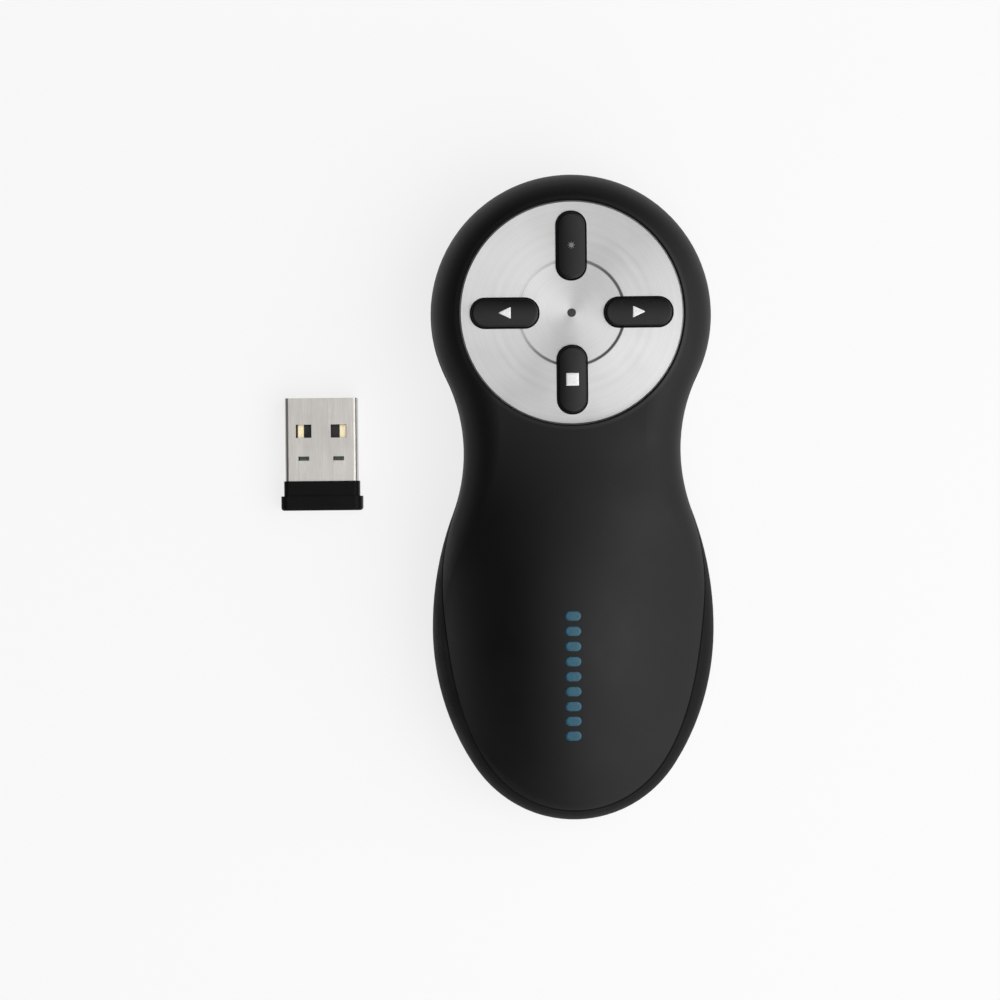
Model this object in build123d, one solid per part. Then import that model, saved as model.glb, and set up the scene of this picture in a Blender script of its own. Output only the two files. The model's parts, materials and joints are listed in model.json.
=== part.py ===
from build123d import *

import os
from math import hypot, sqrt

# Wireless presentation clicker with its USB receiver lying beside it. Millimetres, +Z up.
# The origin is on the flat belly that the clicker rests on, on its mid-plane, under the
# palm. +Y runs towards the button head and the laser, -Y towards the tail.

# ------------------------------------------------------------------ outline, seen from above
HEAD_R = 22.9  # round button head
HEAD_Y = 50.3  # its centre
WAIST_HALF = 17.7  # half-width of the neck at its narrowest
WAIST_Y = 28.0
PALM_HALF = 23.15  # half-width of the palm at its widest
PALM_Y = -1.2
HIP_R = 40.7  # radius of the sides from there towards the tail
TAIL_Y = -32.5  # tip of the tail

# ------------------------------------------------------------------ skin of the casing
WALL = 1.8  # both shells
TOP_ROUND = 7.0  # radius that rolls the crown over into the side
BOTTOM_ROUND = 5.5  # radius under the belly
PARTING_Z = 14.0  # joint between the two shells
BAND_Z = 10.0  # a height on the upright band between the two rounds
TONGUE_H = 1.2  # lip on the bottom shell that locates the top shell
TONGUE_T = 0.85
TONGUE_GAP = 0.05
REVEAL_H = 0.3  # shadow line along the parting
REVEAL_DEPTH = 0.35
BELLY_FLAT = (-12.0, 38.0)  # the belly is flat between these, and lifts beyond them
TAIL_LIFT = 1.6  # rise of the belly at 12 mm beyond the tail
HEAD_LIFT = 5.0  # rise of the belly under the end of the head

# ------------------------------------------------------------------ batteries, door and tray
CELL_R = 5.25  # AAA cell
CELL_L = 44.5  # over the nub
NUB_R = 1.9
NUB_H = 0.8
CELL_GAP = 0.15  # to the door below and the roof above
CELL_SPACING = 0.4  # between the two cells
TRAY_SIDE_GAP = 0.5
TRAY_WALL = 1.0
CONTACT_T = 0.3  # contact plates
CONTACT_HALF_W = 4.0
CONTACT_HALF_H = 3.5
CONTACT_BUMP = 0.6  # raised dimple that meets the nub
BUMP_R = 1.6
TERMINAL_TAIL = 2.0  # width of the tail that goes up to the board
TERMINAL_SLOT_GAP = 0.1
SOLDER_PROUD = 0.3  # how far tails and leads stand out of the board
SPRING_L = 3.3  # negative spring, compressed
SPRING_R = 3.2
SPRING_WIRE_R = 0.25
SPRING_TURNS = 3
DOOR_T = 1.6
DOOR_GAP = 0.15  # around the door's edge
DOOR_LIP = 0.8  # how far the door reaches past the tray's inner face
DOOR_CORNER = 3.0
RAIL_T = 0.85  # rails in the bottom shell that carry the door
RAIL_REACH = 1.45
RAIL_ROOT = 1.2  # thickening of the belly that each rail grows from
HOOK_T = 0.75  # hooks on the door that run along the rails
HOOK_WEB = 0.8
HOOK_L = 4.0
HOOK_Y = (-8.0, 11.0, 30.0)
DOOR_TOP_Z = 3.6  # height of the door where it turns up into the tail
TAB_W = 3.4  # tab between the cells that tucks in at the door's head end
TAB_L = 1.6
GRIP_Y = 24.0  # thumb ridges on the door
GRIP_COUNT = 5
GRIP_PITCH = 1.9
GRIP_W = 13.0
GRIP_GROOVE = 0.9
GRIP_DEPTH = 0.45

# ------------------------------------------------------------------ USB receiver and its bay
PLUG_W = 12.0  # USB-A plug
PLUG_H = 4.5
PLUG_L = 13.8  # from the cap's face to the tip
PLUG_IN_CAP = 3.0
PLUG_CORNER = 0.6
SHIELD_T = 0.3
WINDOW_X = 2.9  # latch windows punched in the shield
WINDOW_FROM_TIP = 5.5
WINDOW_L = 2.2
WINDOW_W = 2.6
LANCE = (-12.6, -10.4)  # tabs lanced out of the shield near the cap, measured from the tip
LANCE_W = 1.8
LANCE_RISE = 0.18
LANCE_SLIT = 0.7
CAP_L = 4.9
CAP_W = 13.5
CAP_H = 5.6
COLLAR_L = 2.5  # slimmer front of the cap
COLLAR_GROW = 0.25  # collar wall around the plug
INSULATOR_H = 1.9
INSULATOR_SET_BACK = 0.4
PLUG_CONTACTS = ((-3.5, -0.8), (-1.0, -1.8), (1.0, -1.8), (3.5, -0.8))  # x and front end of each
PLUG_CONTACT_END = -9.0
PLUG_CONTACT_W = 1.0
PLUG_CONTACT_T = 0.15
PLUG_BOARD_HALF = 5.2
PLUG_BOARD_T = 0.6
PLUG_BOARD_START = -9.2
PLUG_CHIP = (3.2, 2.8, 0.7)
PLUG_CHIP_Y = -12.8
CAP_CORNER = 1.2
CAP_SOFTEN = 0.5
BAY_GAP = 0.2  # around the plug and the cap
CAP_RECESS = 0.8  # how far the docked cap sits inside the tail
BAY_Z = 7.0  # centre height of the bay
BAY_END_GAP = 0.3
BAY_WALL = 1.0
RECEIVER_X = -41.5  # where the receiver lies, beside the neck
RECEIVER_TIP_Y = 37.45

# ------------------------------------------------------------------ circuit board and switches
STANDOFF = 0.2
PCB_T = 0.8
PCB_HEAD_GAP = 2.4  # board edge to the outline
PCB_HALF = 10.5  # board half-width along the neck and palm
PCB_TAIL_Y = -18.0
SWITCH_SIDE = 5.2  # tact switch
SWITCH_FLOOR = 0.35
SWITCH_WALL_H = 1.4
COVER_T = 0.15
COVER_HOLE_R = 1.2
STEM_R = 1.1
STEM_FLANGE_R = 1.7
STEM_FLANGE_T = 0.3
STEM_CLEAR = 0.15  # stem above the steel cover once it is pressed
DOME_R = 1.7
DOME_T = 0.1
RUN_GAP = 0.05  # between sliding parts
RADIO_CHIP = (5.0, 5.0, 0.9)
RADIO_CHIP_Y = 11.0
CRYSTAL = (3.2, 2.5, 0.7)
CRYSTAL_AT = (6.6, 11.25)
CHIP_PART = (1.0, 0.8, 0.5)  # capacitors and resistors, in three rows round the radio chip
CHIP_PART_ROWS = (((-5.5, 7.0), (0, 2.0), 4), ((4.5, 6.5), (1.8, 0), 3), ((-4.5, 16.0), (1.8, 0), 4))
ANTENNA_LEGS = 6  # folded trace at the tail end of the board
ANTENNA_L = 3.5
ANTENNA_PITCH = 1.1
ANTENNA_W = 0.4
ANTENNA_T = 0.1
ANTENNA_X = -4.0

# ------------------------------------------------------------------ faceplate and buttons
PLATE_R = 18.1
PLATE_GAP = 0.25
PLATE_T = 0.7
PLATE_CHAMFER = 0.25
TAPE_T = 0.15
FLOOR_T = 1.2  # floor of the top shell under the faceplate
RIM_PROUD = 0.9  # crown of the head above the faceplate
RIM_SOFTEN = 0.35  # softened edge of the shell around the faceplate
RIM_WALL = 1.2  # wall around the faceplate's recess
DISH_R = 8.75  # turned dish in the middle of the faceplate
DISH_STEP = 0.25
DISH_BEVEL = 0.45  # width of its sloping edge
DISH_CONE = 0.15
BUTTON_REACH = 10.8  # head centre to button centre
SLOT_L = 11.3
SLOT_W = 5.1
SLOT_CORNER = 2.45
CAP_SIDE_GAP = 0.3  # button to its slot
BUTTON_PROUD = 0.9
BUTTON_CROWN_R = 9.0
BUTTON_EDGE = 0.35
FLANGE_REACH = 0.9  # button flange beyond its cap
FLANGE_T = 0.8
TRAVEL = 0.4  # of each button
RIB_T = 0.8  # guide ribs around each flange
GUIDE_GAP = 0.15
RIB_H = 1.3
BUTTONS = {"forward": 0, "laser": 90, "back": 180, "stop": 270}  # angle round the head

# ------------------------------------------------------------------ indicator
PIPE_R = 1.0
PIPE_TIP_R = 0.6
PIPE_GAP = 0.1
LED_SIZE = (1.6, 0.8, 0.6)
LED_GAP = 0.1

# ------------------------------------------------------------------ laser
LASER_Z = 10.0
BARREL_R = 3.0
BARREL_L = 13.0
BARREL_BORE = 2.2
BARREL_END_Y = 70.2
LENS_T = 1.6
LENS_BALL_R = 4.0  # of its bulging front
LENS_SET_BACK = 1.0
DIODE_FLANGE_R = 2.8
DIODE_FLANGE_T = 1.2
DIODE_CAN_L = 3.0
LEAD_R = 0.225
LEAD_X = 1.0
LEAD_L = 3.0  # behind the diode, before the leads turn up
LEAD_BEND = 1.0
BEZEL_R = 3.6
BEZEL_L = 2.6
WINDOW_R = 2.7
WINDOW_T = 0.8
WINDOW_SET_BACK = 0.6
SADDLE_Y = (59.5, 66.5)
SADDLE_T = 1.6
SADDLE_SIDE = 1.2

# ------------------------------------------------------------------ screws
SCREW_R = 1.0
SCREW_HEAD_R = 1.9
SCREW_HEAD_H = 1.3
PILOT_GAP = 0.02
PILOT_DEEPER = 0.35
PASS_GAP = 0.2
BOSS_R = 2.5
SPINE_SCREW_Y = (-2.0, 24.0)  # between the cells, up into the top shell
SPINE_SCREW_L = 6.0
HEAD_SCREW_X = 13.5  # under the head
HEAD_SCREW_Y = 62.0
HEAD_SCREW_L = 8.0
HEAD_SCREW_SEAT = 9.0
WELL_R = 2.3
CHASSIS_SCREWS = ((15.6, -6.0), (15.2, 14.0))
CHASSIS_SCREW_L = 5.0
EAR_Z = 8.0
EAR_T = 1.5
EAR_HALF = 2.6

# ------------------------------------------------------------------ bay switch
BAY_SWITCH_Y = -15.3
BAY_SWITCH_SIZE = (4.4, 3.6)
PLUNGER_R = 0.8
PLUNGER_FLANGE_R = 1.2
PLUNGER_FLANGE_T = 0.3
PLUNGER_TRAVEL = 0.7
PLUNGER_REST = 0.1  # how far it still reaches into the bay when pushed back
BAY_SWITCH_WALL = 0.3
BAY_SWITCH_LIFT = 0.2  # above the bay's roof

# ------------------------------------------------------------------ worked out from the above
cell_x = CELL_R + CELL_SPACING / 2
cell_z = DOOR_T + CELL_GAP + CELL_R
tray_half = cell_x + CELL_R + TRAY_SIDE_GAP
roof_z = cell_z + CELL_R + CELL_GAP
pcb_z = roof_z + TRAY_WALL + STANDOFF
pcb_top = pcb_z + PCB_T
switch_top = pcb_top + SWITCH_WALL_H + COVER_T
flange_z = switch_top + TRAVEL + STEM_CLEAR
floor_z = flange_z + FLANGE_T + RUN_GAP
plate_z = floor_z + FLOOR_T + TAPE_T
plate_top = plate_z + PLATE_T
head_crown = plate_top + RIM_PROUD

receiver_l = CAP_L + PLUG_L
bay_mouth = TAIL_Y + CAP_RECESS
bay_end = bay_mouth + receiver_l + BAY_END_GAP
cap_seat = bay_mouth + CAP_L + BAY_GAP
tray_y0 = bay_end + BAY_WALL
tray_y1 = tray_y0 + CELL_L + SPRING_L + CONTACT_BUMP + 2 * CONTACT_T
door_half = tray_half + DOOR_LIP
door_end = tray_y1 + TRAY_WALL
rail_z = DOOR_T + DOOR_GAP
rail_inner = door_half + DOOR_GAP - RAIL_REACH - DOOR_GAP
hook_z = rail_z + RAIL_T + DOOR_GAP
tray_z = hook_z + HOOK_T + DOOR_GAP

# Rise of the crown along the mid-plane, over the head's crown, and its radius across, at even
# steps along the clicker. The palm is domed both ways and the head is almost flat.
CROWN_START = -45.0
CROWN_STEP = 12.0
CROWN_RISE = (-21.0, -7.2, -1.2, 2.4, 3.7, 2.9, 1.3, 0.3, 0.0, -0.1, -0.5, -1.1)
CROWN_RADIUS = (27, 27, 27, 27, 28, 33, 60, 200, 500, 600, 600, 600)
CROWN_HALF = 24.0  # half-width of the block under the crown, wider than the palm
SPAN = 28.0  # reach of the blocks that cut the casing, past the palm

bay_roof = BAY_Z + PLUG_H / 2 + BAY_GAP
bay_switch_z = bay_roof + BAY_WALL + BAY_SWITCH_LIFT
tongue_floor = -PLUG_H / 2 + SHIELD_T
tongue_top = tongue_floor + INSULATOR_H
cap_end = -PLUG_L - CAP_L
plug_end = -PLUG_L - PLUG_IN_CAP

# The outline is eight arcs, each tangent to its neighbours.
neck_rise = HEAD_Y - WAIST_Y
NECK_R = (WAIST_HALF**2 + neck_rise**2 - HEAD_R**2) / (2 * (HEAD_R - WAIST_HALF))
neck_x = WAIST_HALF + NECK_R
neck_to_palm = neck_x - PALM_HALF
waist_ahead = WAIST_Y - PALM_Y
tail_behind = PALM_Y - TAIL_Y
SIDE_R = (neck_to_palm**2 + waist_ahead**2 - NECK_R**2) / (2 * (NECK_R - neck_to_palm))
hip_x = PALM_HALF - HIP_R
TAIL_R = (HIP_R**2 - hip_x**2 - tail_behind**2) / (2 * (HIP_R - tail_behind))


# ================================================================== small helpers
def block(x0, x1, y0, y1, z0, z1):
    """A box between two corners."""
    return Pos((x0 + x1) / 2, (y0 + y1) / 2, (z0 + z1) / 2) * Box(x1 - x0, y1 - y0, z1 - z0)


def both(x0, x1, y0, y1, z0, z1):
    """The same box on both sides of the mid-plane."""
    return block(x0, x1, y0, y1, z0, z1) + block(-x1, -x0, y0, y1, z0, z1)


def post(x, y, z0, z1, r):
    """An upright cylinder."""
    return Pos(x, y, (z0 + z1) / 2) * Cylinder(r, z1 - z0)


def rod(x, y0, y1, z, r):
    """A cylinder along Y."""
    return Pos(x, (y0 + y1) / 2, z) * Rot(90, 0, 0) * Cylinder(r, y1 - y0)


def oblong(length, width, corner, z0, z1):
    """An upright prism with rounded corners, centred on the Z axis."""
    return Pos(0, 0, z0) * extrude(RectangleRounded(length, width, corner), z1 - z0)


def tube_box(width, height, corner, y0, y1, z):
    """A prism along Y with rounded corners, centred on x = 0."""
    face = Pos(0, y0, z) * Rot(90, 0, 0) * RectangleRounded(width, height, corner)
    return extrude(face, y1 - y0, dir=(0, 1, 0))


def group(solids):
    """Several separate solids that share one node."""
    return Compound(children=list(solids))


def at_button(angle):
    """Place of a button: its long side points at the head's centre."""
    return Pos(0, HEAD_Y, 0) * Rot(0, 0, angle) * Pos(BUTTON_REACH, 0, 0)


def screw(x, y, seat, length, up):
    """A pan-head screw whose head bears on seat. It points up or down."""
    way = 1 if up else -1
    ends = sorted((seat, seat + way * length))
    head = sorted((seat, seat - way * SCREW_HEAD_H))
    return post(x, y, *ends, SCREW_R) + post(x, y, *head, SCREW_HEAD_R)


# ================================================================== casing
def towards(start, end, distance):
    """The point at a distance from start, on the line to end."""
    span = hypot(end[0] - start[0], end[1] - start[1])
    share = distance / span
    return (start[0] + (end[0] - start[0]) * share, start[1] + (end[1] - start[1]) * share)


def halfway(start, end):
    return ((start[0] + end[0]) / 2, (start[1] + end[1]) / 2)


def outline(inset):
    """The plan outline, moved in by inset."""
    head, neck = (0, HEAD_Y), (neck_x, WAIST_Y)
    side, hip = (PALM_HALF - SIDE_R, PALM_Y), (hip_x, PALM_Y)
    tail = (0, TAIL_Y + TAIL_R)
    head_end = towards(head, neck, HEAD_R - inset)
    neck_end = towards(neck, side, NECK_R + inset)
    hip_end = towards(hip, tail, HIP_R - inset)
    waist = (WAIST_HALF - inset, WAIST_Y)
    palm = (PALM_HALF - inset, PALM_Y)
    on_side = towards(side, halfway(neck_end, palm), SIDE_R - inset)
    on_hip = towards(hip, halfway(palm, hip_end), HIP_R - inset)

    def mirrored(point):
        return (-point[0], point[1])

    arcs = (
        (mirrored(head_end), (0, HEAD_Y + HEAD_R - inset), head_end),
        (head_end, waist, neck_end),
        (neck_end, on_side, palm),
        (palm, on_hip, hip_end),
        (hip_end, (0, TAIL_Y + inset), mirrored(hip_end)),
        (mirrored(hip_end), mirrored(on_hip), mirrored(palm)),
        (mirrored(palm), mirrored(on_side), mirrored(neck_end)),
        (mirrored(neck_end), mirrored(waist), mirrored(head_end)),
    )
    return make_face(Wire([Edge.make_three_point_arc(*arc) for arc in arcs]))


def crown_section(y, top, radius):
    """One upright slice of the block under the crown: an arc on top of a rectangle."""
    edge = top - (radius - sqrt(radius**2 - CROWN_HALF**2))
    left, right, foot = -CROWN_HALF, CROWN_HALF, -2 * SPAN
    corners = [(left, y, foot), (left, y, edge), (right, y, edge), (right, y, foot)]
    sides = [Edge.make_line(corners[n], corners[n + 1]) for n in (0, 2)]
    base = Edge.make_line(corners[3], corners[0])
    arc = Edge.make_three_point_arc(corners[1], (0, y, top), corners[2])
    return Face(Wire([sides[0], arc, sides[1], base]))


def under_belly(inset):
    """Everything below the belly: flat in the middle, lifting towards the tail and the head."""
    y0, y1 = TAIL_Y - 12, HEAD_Y + HEAD_R + 7
    flat0, flat1 = BELLY_FLAT
    points = [(flat0, inset), (flat1, inset)]
    tail_mid = ((flat0 + y0) / 2, inset + TAIL_LIFT / 4)
    head_mid = ((flat1 + y1) / 2, inset + HEAD_LIFT / 4)
    edges = [
        Edge.make_three_point_arc((y0, inset + TAIL_LIFT), tail_mid, points[0]),
        Edge.make_line(*points),
        Edge.make_three_point_arc(points[1], head_mid, (y1, inset + HEAD_LIFT)),
        Edge.make_line((y1, inset + HEAD_LIFT), (y1, -SPAN)),
        Edge.make_line((y1, -SPAN), (y0, -SPAN)),
        Edge.make_line((y0, -SPAN), (y0, inset + TAIL_LIFT)),
    ]
    face = Plane.YZ * make_face(Wire(edges))
    return extrude(face, SPAN, both=True)


def pebble(inset):
    """The casing's outer form as a solid, moved in by inset on every side."""
    crown = loft(
        [
            crown_section(CROWN_START + n * CROWN_STEP, head_crown + rise - inset, radius)
            for n, (rise, radius) in enumerate(zip(CROWN_RISE, CROWN_RADIUS))
        ]
    )
    body = Pos(0, 0, -SPAN / 2) * extrude(outline(inset), 3 * SPAN / 2) & crown
    body = body - under_belly(inset)
    rim = [e for e in body.edges() if e.bounding_box().min.Z > BAND_Z]
    body = fillet(rim, TOP_ROUND - inset)
    low = [e for e in body.edges() if e.bounding_box().max.Z < BAND_Z]
    keel = [e for e in low if not (e.geom_type == GeomType.LINE and abs(e.tangent_at(0).X) > 0.99)]
    return fillet(keel, BOTTOM_ROUND - inset)


def slab(body, z0, z1):
    """The part of a body between two heights."""
    return body & block(-2 * SPAN, 2 * SPAN, -3 * SPAN, 4 * SPAN, z0, z1)


outer = pebble(0)
inner = pebble(WALL)


def button_prism(grow, z0, z1):
    """The four button outlines as prisms, grown or shrunk from the faceplate's slots."""
    prism = oblong(SLOT_L + 2 * grow, SLOT_W + 2 * grow, SLOT_CORNER + grow, z0, z1)
    return [at_button(angle) * prism for angle in BUTTONS.values()]


def top_shell():
    """Crown of the casing, with the faceplate's floor, the button guides and four bosses."""
    sky = head_crown + SPAN
    step = PARTING_Z + REVEAL_H
    blank = slab(outer, step, sky) + slab(pebble(REVEAL_DEPTH), PARTING_Z, step + REVEAL_H)
    # the hollow inside, with the groove for the bottom shell's tongue
    groove = pebble(WALL - TONGUE_T - TONGUE_GAP)
    hollow = slab(inner, PARTING_Z - 1, sky) + slab(
        groove, PARTING_Z - 1, PARTING_Z + TONGUE_H + TONGUE_GAP
    )
    flange = FLANGE_REACH - CAP_SIDE_GAP + GUIDE_GAP
    wells = button_prism(flange, floor_z - RIB_H, floor_z)
    floor = post(0, HEAD_Y, floor_z, sky, PLATE_R + PLATE_GAP + RIM_WALL)
    ribs = button_prism(flange + RIB_T, floor_z - RIB_H, floor_z)
    bosses = [post(0, y, pcb_top, sky, BOSS_R) for y in SPINE_SCREW_Y]
    bosses += [post(x, HEAD_SCREW_Y, pcb_top, sky, BOSS_R) for x in (-HEAD_SCREW_X, HEAD_SCREW_X)]
    hollow -= [floor] + ribs + bosses
    cuts = wells + button_prism(0, floor_z - RUN_GAP, plate_z)
    cuts.append(post(0, HEAD_Y, floor_z + FLOOR_T, sky, PLATE_R + PLATE_GAP))
    cuts.append(post(0, HEAD_Y, floor_z - 1, plate_z, PIPE_R + PILOT_GAP))
    pilot = SCREW_R + PILOT_GAP
    for y in SPINE_SCREW_Y:
        cuts.append(post(0, y, PARTING_Z, roof_z + SPINE_SCREW_L + PILOT_DEEPER, pilot))
    for x in (-HEAD_SCREW_X, HEAD_SCREW_X):
        cuts.append(post(x, HEAD_SCREW_Y, PARTING_Z, HEAD_SCREW_SEAT + HEAD_SCREW_L + PILOT_DEEPER, pilot))
    shell = blank - hollow - cuts
    brim = shell.edges().filter_by(GeomType.CIRCLE).filter_by(on_recess_rim)
    return fillet(brim, RIM_SOFTEN) if brim else shell


def on_recess_rim(edge):
    """The edge where the faceplate's recess meets the crown."""
    return abs(edge.radius - PLATE_R - PLATE_GAP) < 0.01 and edge.bounding_box().min.Z > plate_z + PLATE_T


def bottom_shell():
    """Belly and sides of the casing, open underneath for the battery door."""
    half = door_half + DOOR_GAP
    blank = slab(outer, -SPAN, PARTING_Z) + slab(
        pebble(WALL - TONGUE_T), PARTING_Z - TONGUE_H, PARTING_Z + TONGUE_H
    )
    hollow = slab(inner, -SPAN, PARTING_Z + TONGUE_H + 1)
    solid = [both(rail_inner, half + RAIL_ROOT, tray_y0, tray_y1, rail_z, rail_z + RAIL_T)]
    solid += [both(half, half + RAIL_ROOT, tray_y0, tray_y1, 0, rail_z + RAIL_T)]
    cuts = []
    for x, y in CHASSIS_SCREWS:
        for side in (-x, x):
            solid.append(post(side, y, 0, EAR_Z, BOSS_R))
            pilot = EAR_Z + EAR_T - CHASSIS_SCREW_L - PILOT_DEEPER
            cuts.append(post(side, y, pilot, EAR_Z, SCREW_R + PILOT_GAP))
    for x in (-HEAD_SCREW_X, HEAD_SCREW_X):
        solid.append(post(x, HEAD_SCREW_Y, 0, pcb_z, WELL_R + TRAY_WALL))
        cuts.append(post(x, HEAD_SCREW_Y, -1, HEAD_SCREW_SEAT, WELL_R))
        cuts.append(post(x, HEAD_SCREW_Y, HEAD_SCREW_SEAT, pcb_z, SCREW_R + PASS_GAP))
    # saddles for the laser, and its way out through the head
    saddle = BARREL_R + SADDLE_SIDE
    for y in SADDLE_Y:
        solid.append(block(-saddle, saddle, y - SADDLE_T / 2, y + SADDLE_T / 2, 0, LASER_Z))
    barrel_end = SADDLE_Y[1] + SADDLE_T
    cuts.append(rod(0, SADDLE_Y[0] - SADDLE_T, barrel_end, LASER_Z, BARREL_R + RUN_GAP))
    cuts.append(rod(0, barrel_end, HEAD_Y + HEAD_R + 2, LASER_Z, BEZEL_R + PILOT_GAP))
    # the door's opening runs out through the tail, above it is the mouth of the receiver's bay
    opening = oblong(2 * half, 4 * SPAN, DOOR_CORNER, -1, DOOR_TOP_Z + DOOR_GAP)
    opening = Pos(0, door_end + DOOR_GAP - 2 * SPAN, 0) * opening
    rails = both(rail_inner, half + RAIL_ROOT, tray_y0, tray_y1, rail_z, rail_z + RAIL_T)
    cuts.append(opening - rails)
    mouth = (CAP_W + 2 * BAY_GAP, CAP_H + 2 * BAY_GAP)
    cuts.append(tube_box(*mouth, PLUG_CORNER, TAIL_Y - 2, cap_seat, BAY_Z))
    cuts.append(block(-mouth[0] / 2, mouth[0] / 2, TAIL_Y - 2, cap_seat, DOOR_TOP_Z, BAY_Z))
    return blank - (hollow - solid) - cuts


def battery_door():
    blank = oblong(2 * door_half, 4 * SPAN, DOOR_CORNER - DOOR_GAP, -1, DOOR_TOP_Z)
    door = (outer & (Pos(0, door_end - 2 * SPAN, 0) * blank)) - pebble(DOOR_T)
    web0 = rail_inner - DOOR_GAP - HOOK_WEB
    reach = rail_inner + RAIL_REACH - DOOR_GAP - 0.2
    for y in HOOK_Y:
        door += both(web0, web0 + HOOK_WEB, y, y + HOOK_L, DOOR_T - 0.1, hook_z + HOOK_T)
        door += both(web0, reach, y, y + HOOK_L, hook_z, hook_z + HOOK_T)
    tab0 = door_end - TAB_L
    tab_z = WALL + DOOR_GAP
    door += block(-TAB_W / 2, TAB_W / 2, tab0, door_end + TAB_L, tab_z, tab_z + HOOK_T)
    door += block(-TAB_W / 2, TAB_W / 2, tab0, door_end - DOOR_GAP, DOOR_T - 0.1, tab_z)
    for n in range(GRIP_COUNT):
        y = GRIP_Y + (n - (GRIP_COUNT - 1) / 2) * GRIP_PITCH
        door -= Pos(0, y, -1) * oblong(GRIP_W, GRIP_GROOVE, GRIP_GROOVE / 2 - 0.01, 0, 1 + GRIP_DEPTH)
    arrow = make_face(Polyline((-2.0, 2.0), (2.0, 2.0), (0, -1.4), close=True))
    door -= Pos(0, GRIP_Y - GRIP_COUNT * GRIP_PITCH, -1) * extrude(arrow, 1 + GRIP_DEPTH)
    return door


def inner_chassis():
    """Battery tray and receiver bay in one moulding, fixed to the bottom shell by four ears."""
    wall = tray_half + TRAY_WALL
    y0, y1 = tray_y0 - TRAY_WALL, tray_y1 + TRAY_WALL
    frame = block(-wall, wall, y0, y1, tray_z, roof_z + TRAY_WALL)
    frame -= block(-tray_half, tray_half, tray_y0, tray_y1, tray_z - 1, roof_z)
    for x, y in CHASSIS_SCREWS:
        for side in (-1, 1):
            ends = sorted((side * (wall - 0.2), side * (x + EAR_HALF - 0.4)))
            frame += block(*ends, y - EAR_HALF, y + EAR_HALF, EAR_Z, EAR_Z + EAR_T)
            frame -= post(side * x, y, EAR_Z, EAR_Z + EAR_T, SCREW_R + PASS_GAP)
    for y in SPINE_SCREW_Y:
        frame -= post(0, y, roof_z, roof_z + TRAY_WALL, SCREW_R + PASS_GAP)
    # the bay: a wide mouth for the cap, then a sleeve for the plug
    plug = (PLUG_W + 2 * BAY_GAP, PLUG_H + 2 * BAY_GAP)
    cap = (CAP_W + 2 * BAY_GAP, CAP_H + 2 * BAY_GAP)
    plug_wall, cap_wall = [[size + 2 * BAY_WALL for size in hole] for hole in (plug, cap)]
    bay = tube_box(*plug_wall, PLUG_CORNER, cap_seat, y0 + 0.2, BAY_Z)
    bay += tube_box(*cap_wall, PLUG_CORNER, TAIL_Y, cap_seat + BAY_WALL, BAY_Z)
    bay -= tube_box(*plug, PLUG_CORNER, cap_seat - 1, bay_end, BAY_Z)
    bay -= tube_box(*cap, PLUG_CORNER, TAIL_Y, cap_seat, BAY_Z)
    frame += bay & pebble(WALL + BAY_GAP)
    frame -= post(0, BAY_SWITCH_Y, BAY_Z, BAY_Z + PLUG_H, PLUNGER_R + 2 * RUN_GAP)
    # slots that let the two terminals' tails up to the board, and pads under the board
    frame -= terminal_slots(roof_z, roof_z + TRAY_WALL)
    for y in (tray_y0 + 6, tray_y1 - 6):
        frame += both(PCB_HALF - 3, PCB_HALF - 1, y - 1, y + 1, roof_z + TRAY_WALL - 0.1, pcb_z)
    return frame


# ================================================================== batteries
def battery_cell(x, towards_head):
    """An AAA cell, with its nub towards the head or the tail."""
    y0 = tray_y0 + CONTACT_T
    y0 += SPRING_L if towards_head else CONTACT_BUMP
    y1 = y0 + CELL_L
    can = (y0, y1 - NUB_H) if towards_head else (y0 + NUB_H, y1)
    nub = (can[1], y1) if towards_head else (y0, can[0])
    body = rod(x, *can, cell_z, CELL_R)
    body = fillet(body.edges(), 0.4)
    return body + rod(x, *nub, cell_z, NUB_R)


def terminal_slots(z0, z1):
    """Slots that let the two terminals' tails up to the board."""
    half = TERMINAL_TAIL / 2 + TERMINAL_SLOT_GAP
    y0, y1 = tray_y0 - TERMINAL_SLOT_GAP, tray_y0 + CONTACT_T + TERMINAL_SLOT_GAP
    return both(cell_x - half, cell_x + half, y0, y1, z0, z1)


def contact_plate(x0, x1, y0, y1):
    """A flat contact plate against the tray's end wall."""
    return block(x0, x1, y0, y1, cell_z - CONTACT_HALF_H, cell_z + CONTACT_HALF_H)


def bump(x, y0, y1):
    """Raised dimple that meets a cell's nub."""
    return rod(x, y0, y1, cell_z, BUMP_R)


def coil(x, y0):
    """A spring between a plate at y0 and a cell's base, towards +Y."""
    height = SPRING_L - 2 * SPRING_WIRE_R
    helix = Helix(height / SPRING_TURNS, height, SPRING_R)
    profile = Plane(origin=helix @ 0, z_dir=helix % 0) * Circle(SPRING_WIRE_R)
    spring = sweep(profile, path=helix, is_frenet=True)
    return Pos(x, y0 + SPRING_WIRE_R, cell_z) * Rot(-90, 0, 0) * spring


def tail_terminal(x, height):
    """Contact plate at the tail end, with a tail that goes up to the circuit board."""
    y0, y1 = tray_y0, tray_y0 + CONTACT_T
    plate = contact_plate(x - CONTACT_HALF_W, x + CONTACT_HALF_W, y0, y1)
    return plate + block(x - TERMINAL_TAIL / 2, x + TERMINAL_TAIL / 2, y0, y1, cell_z, height)


def battery_terminal_negative():
    return tail_terminal(-cell_x, pcb_top + SOLDER_PROUD)


def battery_spring_tail():
    return coil(-cell_x, tray_y0 + CONTACT_T)


def battery_terminal_positive():
    plate_face = tray_y0 + CONTACT_T
    tip = plate_face + CONTACT_BUMP
    return tail_terminal(cell_x, pcb_top + SOLDER_PROUD) + bump(cell_x, plate_face, tip)


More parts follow.
